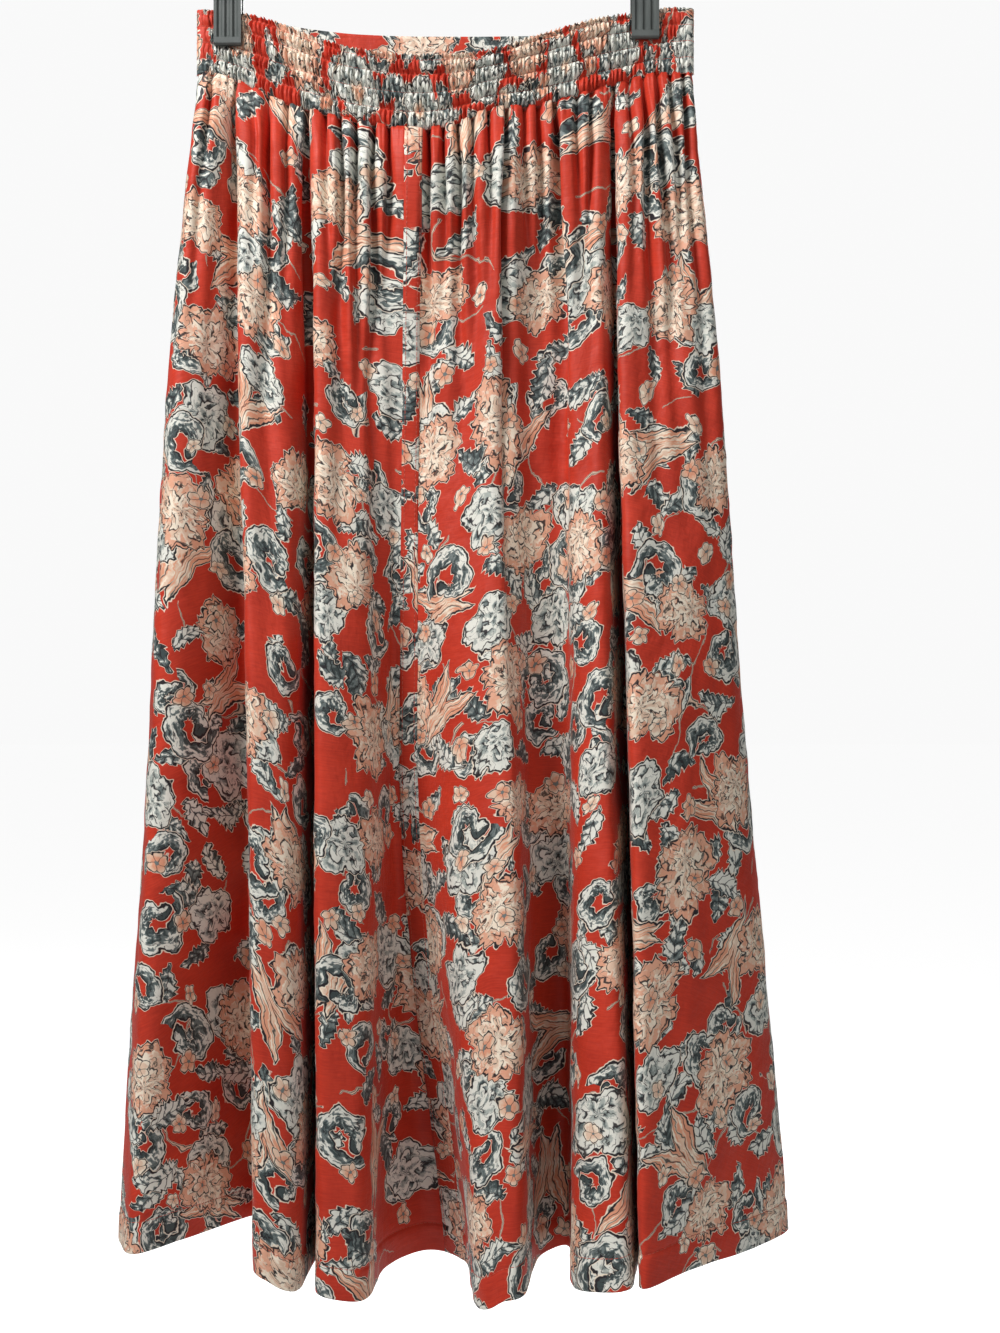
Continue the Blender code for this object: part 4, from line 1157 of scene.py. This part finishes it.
    def long_petals(self, cell, away, gone, half, wide):
        """Pairs of long bent petals, striped along their length."""
        pen = self.pen
        x, y, chance = self.scatter(cell, away, 0.6)
        side = abs(y) - 0.22 * x - 0.62 * wide
        bent = pen.scaled(x * x, -0.009, side)
        share = x / half
        lens = pen.scaled(share, 0.35, 1.0) * (1.0 - share * share) * wide
        edge = abs(bent) - lens + self.absent(chance[1], gone)
        stripe = pen.noise(pen.join(x * 0.05, bent * 0.55, chance[2]), 1.0, 1.0)
        stripe = stripe + self.mottle * 0.3
        fill = pen.over(PEACH, CREAM, stripe, 0.57, 0.66)
        fill = pen.over(fill, PALE_CREAM, stripe, 0.70, 0.78)
        rib = pen.math("PINGPONG", pen.scaled(x, 0.06, bent), 2.3)
        fill = pen.over(fill, INK, rib, 0.6, 0.15, 0.9)
        self.lay(edge, fill)

    def blooms(self, cell, away, gone, size, petals, rings, tones, notch):
        """Round many-petalled flowers, ring on ring of petals about a heart set off centre."""
        pen = self.pen
        x, y, chance = self.scatter(cell, away, 0.45)
        x = pen.scaled(chance[0], 0.35, 0.82) * x
        radius, angle = self.polar(x, y)
        wobble = pen.math("SINE", pen.scaled(angle, 2.0, chance[0] * 20.0))
        lobe = abs(pen.math("SINE", angle * (petals / 2)))
        tooth = pen.math("PINGPONG", angle * 2.3, 0.34)
        reach = wobble * 0.10 + lobe * 0.20 + tooth * notch + (0.70 - 0.15 * notch)
        reach = reach * (chance[2] * 0.25 + 0.85) * size
        edge = radius - reach + self.absent(chance[1], gone)
        inner, turn = self.polar(x + size * 0.20, y - size * 0.10)
        ring = inner / reach * rings
        parity = pen.scaled(pen.math("FLOOR", ring), 1.9, turn * petals)
        swing = pen.math("COSINE", parity)
        scale = pen.math("FRACT", pen.scaled(swing, 0.33, ring))
        tone = scale * 0.62 + self.mottle * 0.8 + 0.09
        deep, middle, light, pale, tip = tones
        fill = pen.over(deep, middle, tone, 0.42, 0.52)
        fill = pen.over(fill, light, tone, 0.54, 0.66)
        fill = pen.over(fill, pale, tone, 0.74, 0.84)
        blush = pen.scaled(self.mottle, 1.9, radius / reach)
        fill = pen.over(fill, tip, blush, 1.60, 1.78, 0.85)
        fill = self.hatched(fill, inner * 0.11, turn * 1.9, chance[2])
        fill = pen.over(fill, INK, abs(scale - 0.5), 0.425, 0.465, 0.95)
        self.lay(edge, fill)

    def buds(self, cell, away, gone, size):
        """Small five-petalled flowers with a dark eye."""
        pen = self.pen
        x, y, chance = self.scatter(cell, away, 0.8)
        y = pen.scaled(chance[2], 0.5, 0.85) * y
        radius, angle = self.polar(x, y)
        reach = (abs(pen.math("SINE", angle * 2.5)) * 0.32 + 0.72) * size
        edge = radius - reach + self.absent(chance[1], gone)
        tone = radius / size * 0.5 + self.mottle * 0.7 + chance[2] * 0.3
        fill = pen.over(PEACH, CREAM, tone, 0.62, 0.80)
        fill = pen.over(fill, PALE_CREAM, tone, 0.90, 1.0)
        split = abs(pen.math("SINE", angle * 2.5)) * radius
        fill = pen.over(fill, INK, split, 0.8, 0.3, 0.8)
        fill = pen.over(fill, MID_GREY, radius, 1.5, 1.0)
        self.lay(edge, fill, 0.4, 0.9)


def floral_group():
    """The print of the cloth, read from its flat layout."""
    tree, pen, given, leave = new_group(
        "floral print", [("Cloth", "Vector")], [("Color", "Color")]
    )
    flowers = Print(pen, given["Cloth"])
    flowers.stems()
    flowers.leaves(40.0, 3.7, 0.20, half=15.0, wide=6.2)
    flowers.scrolls(54.0, 8.2, 0.30, size=18.0)
    flowers.leaves(53.0, 17.3, 0.30, half=19.0, wide=7.6)
    flowers.long_petals(98.0, 23.1, 0.30, half=30.0, wide=7.5)
    flowers.blooms(76.0, 31.4, 0.36, size=24.0, petals=5.0, rings=1.7, tones=COOL, notch=0.15)
    flowers.scrolls(92.0, 12.9, 0.42, size=22.5)
    flowers.blooms(86.0, 40.3, 0.20, size=26.5, petals=6.0, rings=1.8, tones=WARM, notch=0.35)
    flowers.buds(42.0, 52.6, 0.30, size=7.0)
    tree.links.new(flowers.color.socket, leave.inputs["Color"])
    return tree


def cloth_group():
    """Weave, slubs and soft crumple of light cotton, with an uneven sheen."""
    tree, pen, given, leave = new_group(
        "cotton weave", [("Cloth", "Vector")], [("Height", "Float"), ("Roughness", "Float")]
    )
    place = pen.vector("MULTIPLY", given["Cloth"], (1000.0, 1000.0, 0.0))
    x, y, _ = pen.parts(place)
    weave = pen.math("SINE", x * 13.0) * pen.math("SINE", y * 13.0)
    slub = pen.noise(pen.vector("MULTIPLY", place, (1.0, 0.12, 0.0)), 2.2, 1.0)
    crumple = pen.noise(place, 0.055, 3.0, rough=0.55)
    creased = pen.noise(pen.vector("MULTIPLY", place, (1.0, 0.35, 0.0)), 0.16, 2.0)
    height = weave * 0.02 + slub * 0.07 + crumple * 1.5 + creased * 0.45
    tree.links.new(height.socket, leave.inputs["Height"])
    rough = crumple * 0.16 + slub * 0.08 + 0.42
    tree.links.new(rough.socket, leave.inputs["Roughness"])
    return tree


def grouped(pen, tree, **inputs):
    """Place a node group and return its outputs by name."""
    node = pen.tree.nodes.new("ShaderNodeGroup")
    node.node_tree = tree
    for key, value in inputs.items():
        pen.feed(node.inputs[key], value)
    return {socket.name: Num(pen, socket) for socket in node.outputs}


def new_finish(name, **constants):
    """A material with a Principled shader, its constants and the pen for its nodes."""
    finish = bpy.data.materials.new(name)
    finish.use_nodes = True
    shader = finish.node_tree.nodes["Principled BSDF"]
    for key, value in constants.items():
        shader.inputs[key.replace("_", " ")].default_value = value
    return finish, shader, Pen(finish.node_tree)


def printed_cotton(name, floral, weave, faded):
    """The printed cloth; faded is how far the print pales on the wrong side."""
    finish, shader, pen = new_finish(name, Sheen_Weight=0.06, Sheen_Roughness=0.4,
                                     Specular_IOR_Level=0.3)
    cloth = pen.put("UVMap", {}, uv_map="cloth")
    color = grouped(pen, floral, Cloth=cloth)["Color"]
    if faded:
        color = pen.blend(faded, color, WRONG_SIDE)
    pen.feed(shader.inputs["Base Color"], color)
    surface = grouped(pen, weave, Cloth=cloth)
    pen.feed(shader.inputs["Roughness"], surface["Roughness"])
    pen.bump(shader, surface["Height"], 0.85, MM)
    return finish


def cotton_thread():
    """Coral sewing thread with its twist."""
    finish, shader, pen = new_finish("cotton thread", Roughness=0.6)
    place = pen.put("TexCoord", {}, output=3)
    twist = pen.put("TexNoise", {"Vector": place, "Scale": 2400.0, "Detail": 1.0})
    pen.feed(shader.inputs["Base Color"], pen.blend(twist, THREAD_DEEP, THREAD_LIGHT))
    pen.bump(shader, twist, 0.6)
    return finish


def clip_plastic():
    """Moulded dark grey plastic with a fine grain and cloudy tone."""
    finish, shader, pen = new_finish("clip plastic", Specular_IOR_Level=0.5)
    place = pen.put("TexCoord", {}, output=3)
    grain = pen.put("TexNoise", {"Vector": place, "Scale": 900.0, "Detail": 2.0})
    cloud = pen.put("TexNoise", {"Vector": place, "Scale": 60.0, "Detail": 3.0})
    color = pen.over(PLASTIC_DEEP, PLASTIC_LIGHT, cloud, 0.3, 0.7)
    pen.feed(shader.inputs["Base Color"], color)
    pen.feed(shader.inputs["Roughness"], cloud * 0.2 + 0.33)
    pen.bump(shader, grain, 0.4)
    return finish


def hook_steel():
    """Bright plated wire with faint drawing marks."""
    finish, shader, pen = new_finish("plated wire", Base_Color=WIRE, Metallic=1.0)
    place = pen.put("TexCoord", {}, output=3)
    marks = pen.put("TexNoise", {"Vector": place, "Scale": 260.0, "Detail": 4.0})
    pen.feed(shader.inputs["Roughness"], marks * 0.16 + 0.14)
    pen.bump(shader, marks, 0.25)
    return finish


def dress_nodes(nodes, finish):
    """Give plain nodes of the frame a finish of their own."""
    for node in nodes:
        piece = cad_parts[node]
        piece.data.materials.clear()
        piece.data.materials.append(finish)


def studio():
    """Camera at the photograph's angle, pale floor and room, and soft lights."""
    camera_data = bpy.data.cameras.new("camera")
    camera_data.sensor_fit = "HORIZONTAL"
    camera_data.sensor_width = SENSOR
    camera_data.lens = LENS_SHARE * SENSOR
    camera_data.clip_end = SIGHT
    camera = bpy.data.objects.new("camera", camera_data)
    camera.location = (EYE_ACROSS * MM, -EYE_DISTANCE * MM, EYE_HEIGHT)
    camera.rotation_euler = (math.radians(90), 0, 0)
    bpy.context.scene.collection.objects.link(camera)
    bpy.context.scene.camera = camera

    finish, shader, pen = new_finish("studio floor", Base_Color=FLOOR_GREY, Roughness=0.9,
                                     Emission_Color=WHITE)
    pen.feed(shader.inputs["Emission Strength"], pen.put("LightPath", {}) * FLOOR_SEEN)
    shape = bmesh.new()
    bmesh.ops.create_grid(shape, x_segments=1, y_segments=1, size=FLOOR_WIDE / 2,
                          matrix=Matrix.Translation((0, 0, FLOOR_HEIGHT)))
    new_piece("floor", shape, (finish,))

    world = bpy.data.worlds.new("soft room")
    world.use_nodes = True
    light_inputs = world.node_tree.nodes["Background"].inputs
    light_inputs["Color"].default_value = WHITE
    room = Pen(world.node_tree)
    strength = room.put("LightPath", {}) * (ROOM_SEEN - ROOM_LIGHT) + ROOM_LIGHT
    room.feed(light_inputs["Strength"], strength)
    bpy.context.scene.world = world
    bpy.context.scene.view_settings.view_transform = "Standard"
    for name, place, aim, size, power in LIGHTS:
        data = bpy.data.lights.new(name, "AREA")
        data.size = size
        data.energy = power
        light = bpy.data.objects.new(name, data)
        light.location = place
        way = Vector(aim) - Vector(place)
        light.rotation_euler = way.to_track_quat("-Z", "Y").to_euler()
        bpy.context.scene.collection.objects.link(light)


def main():
    """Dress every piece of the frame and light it."""
    floral, weave = floral_group(), cloth_group()
    outside = printed_cotton("printed cotton", floral, weave, 0.0)
    inside = printed_cotton("printed cotton wrong side", floral, weave, 0.4)
    thread = cotton_thread()
    skirt = Skirt()
    skirt_pieces(skirt, (outside, inside), thread)
    placket_piece(skirt, (outside,), thread)
    front_band_piece((outside, inside), thread)
    back_band_piece((outside,))
    sides, faces = ("right", "left"), ("front", "back")
    jaws = [f"clip_{side}_{face}_jaw" for side in sides for face in faces]
    dress_nodes(jaws + ["hanger_bar"], clip_plastic())
    dress_nodes(["hanger_hook"], hook_steel())
    studio()


main()
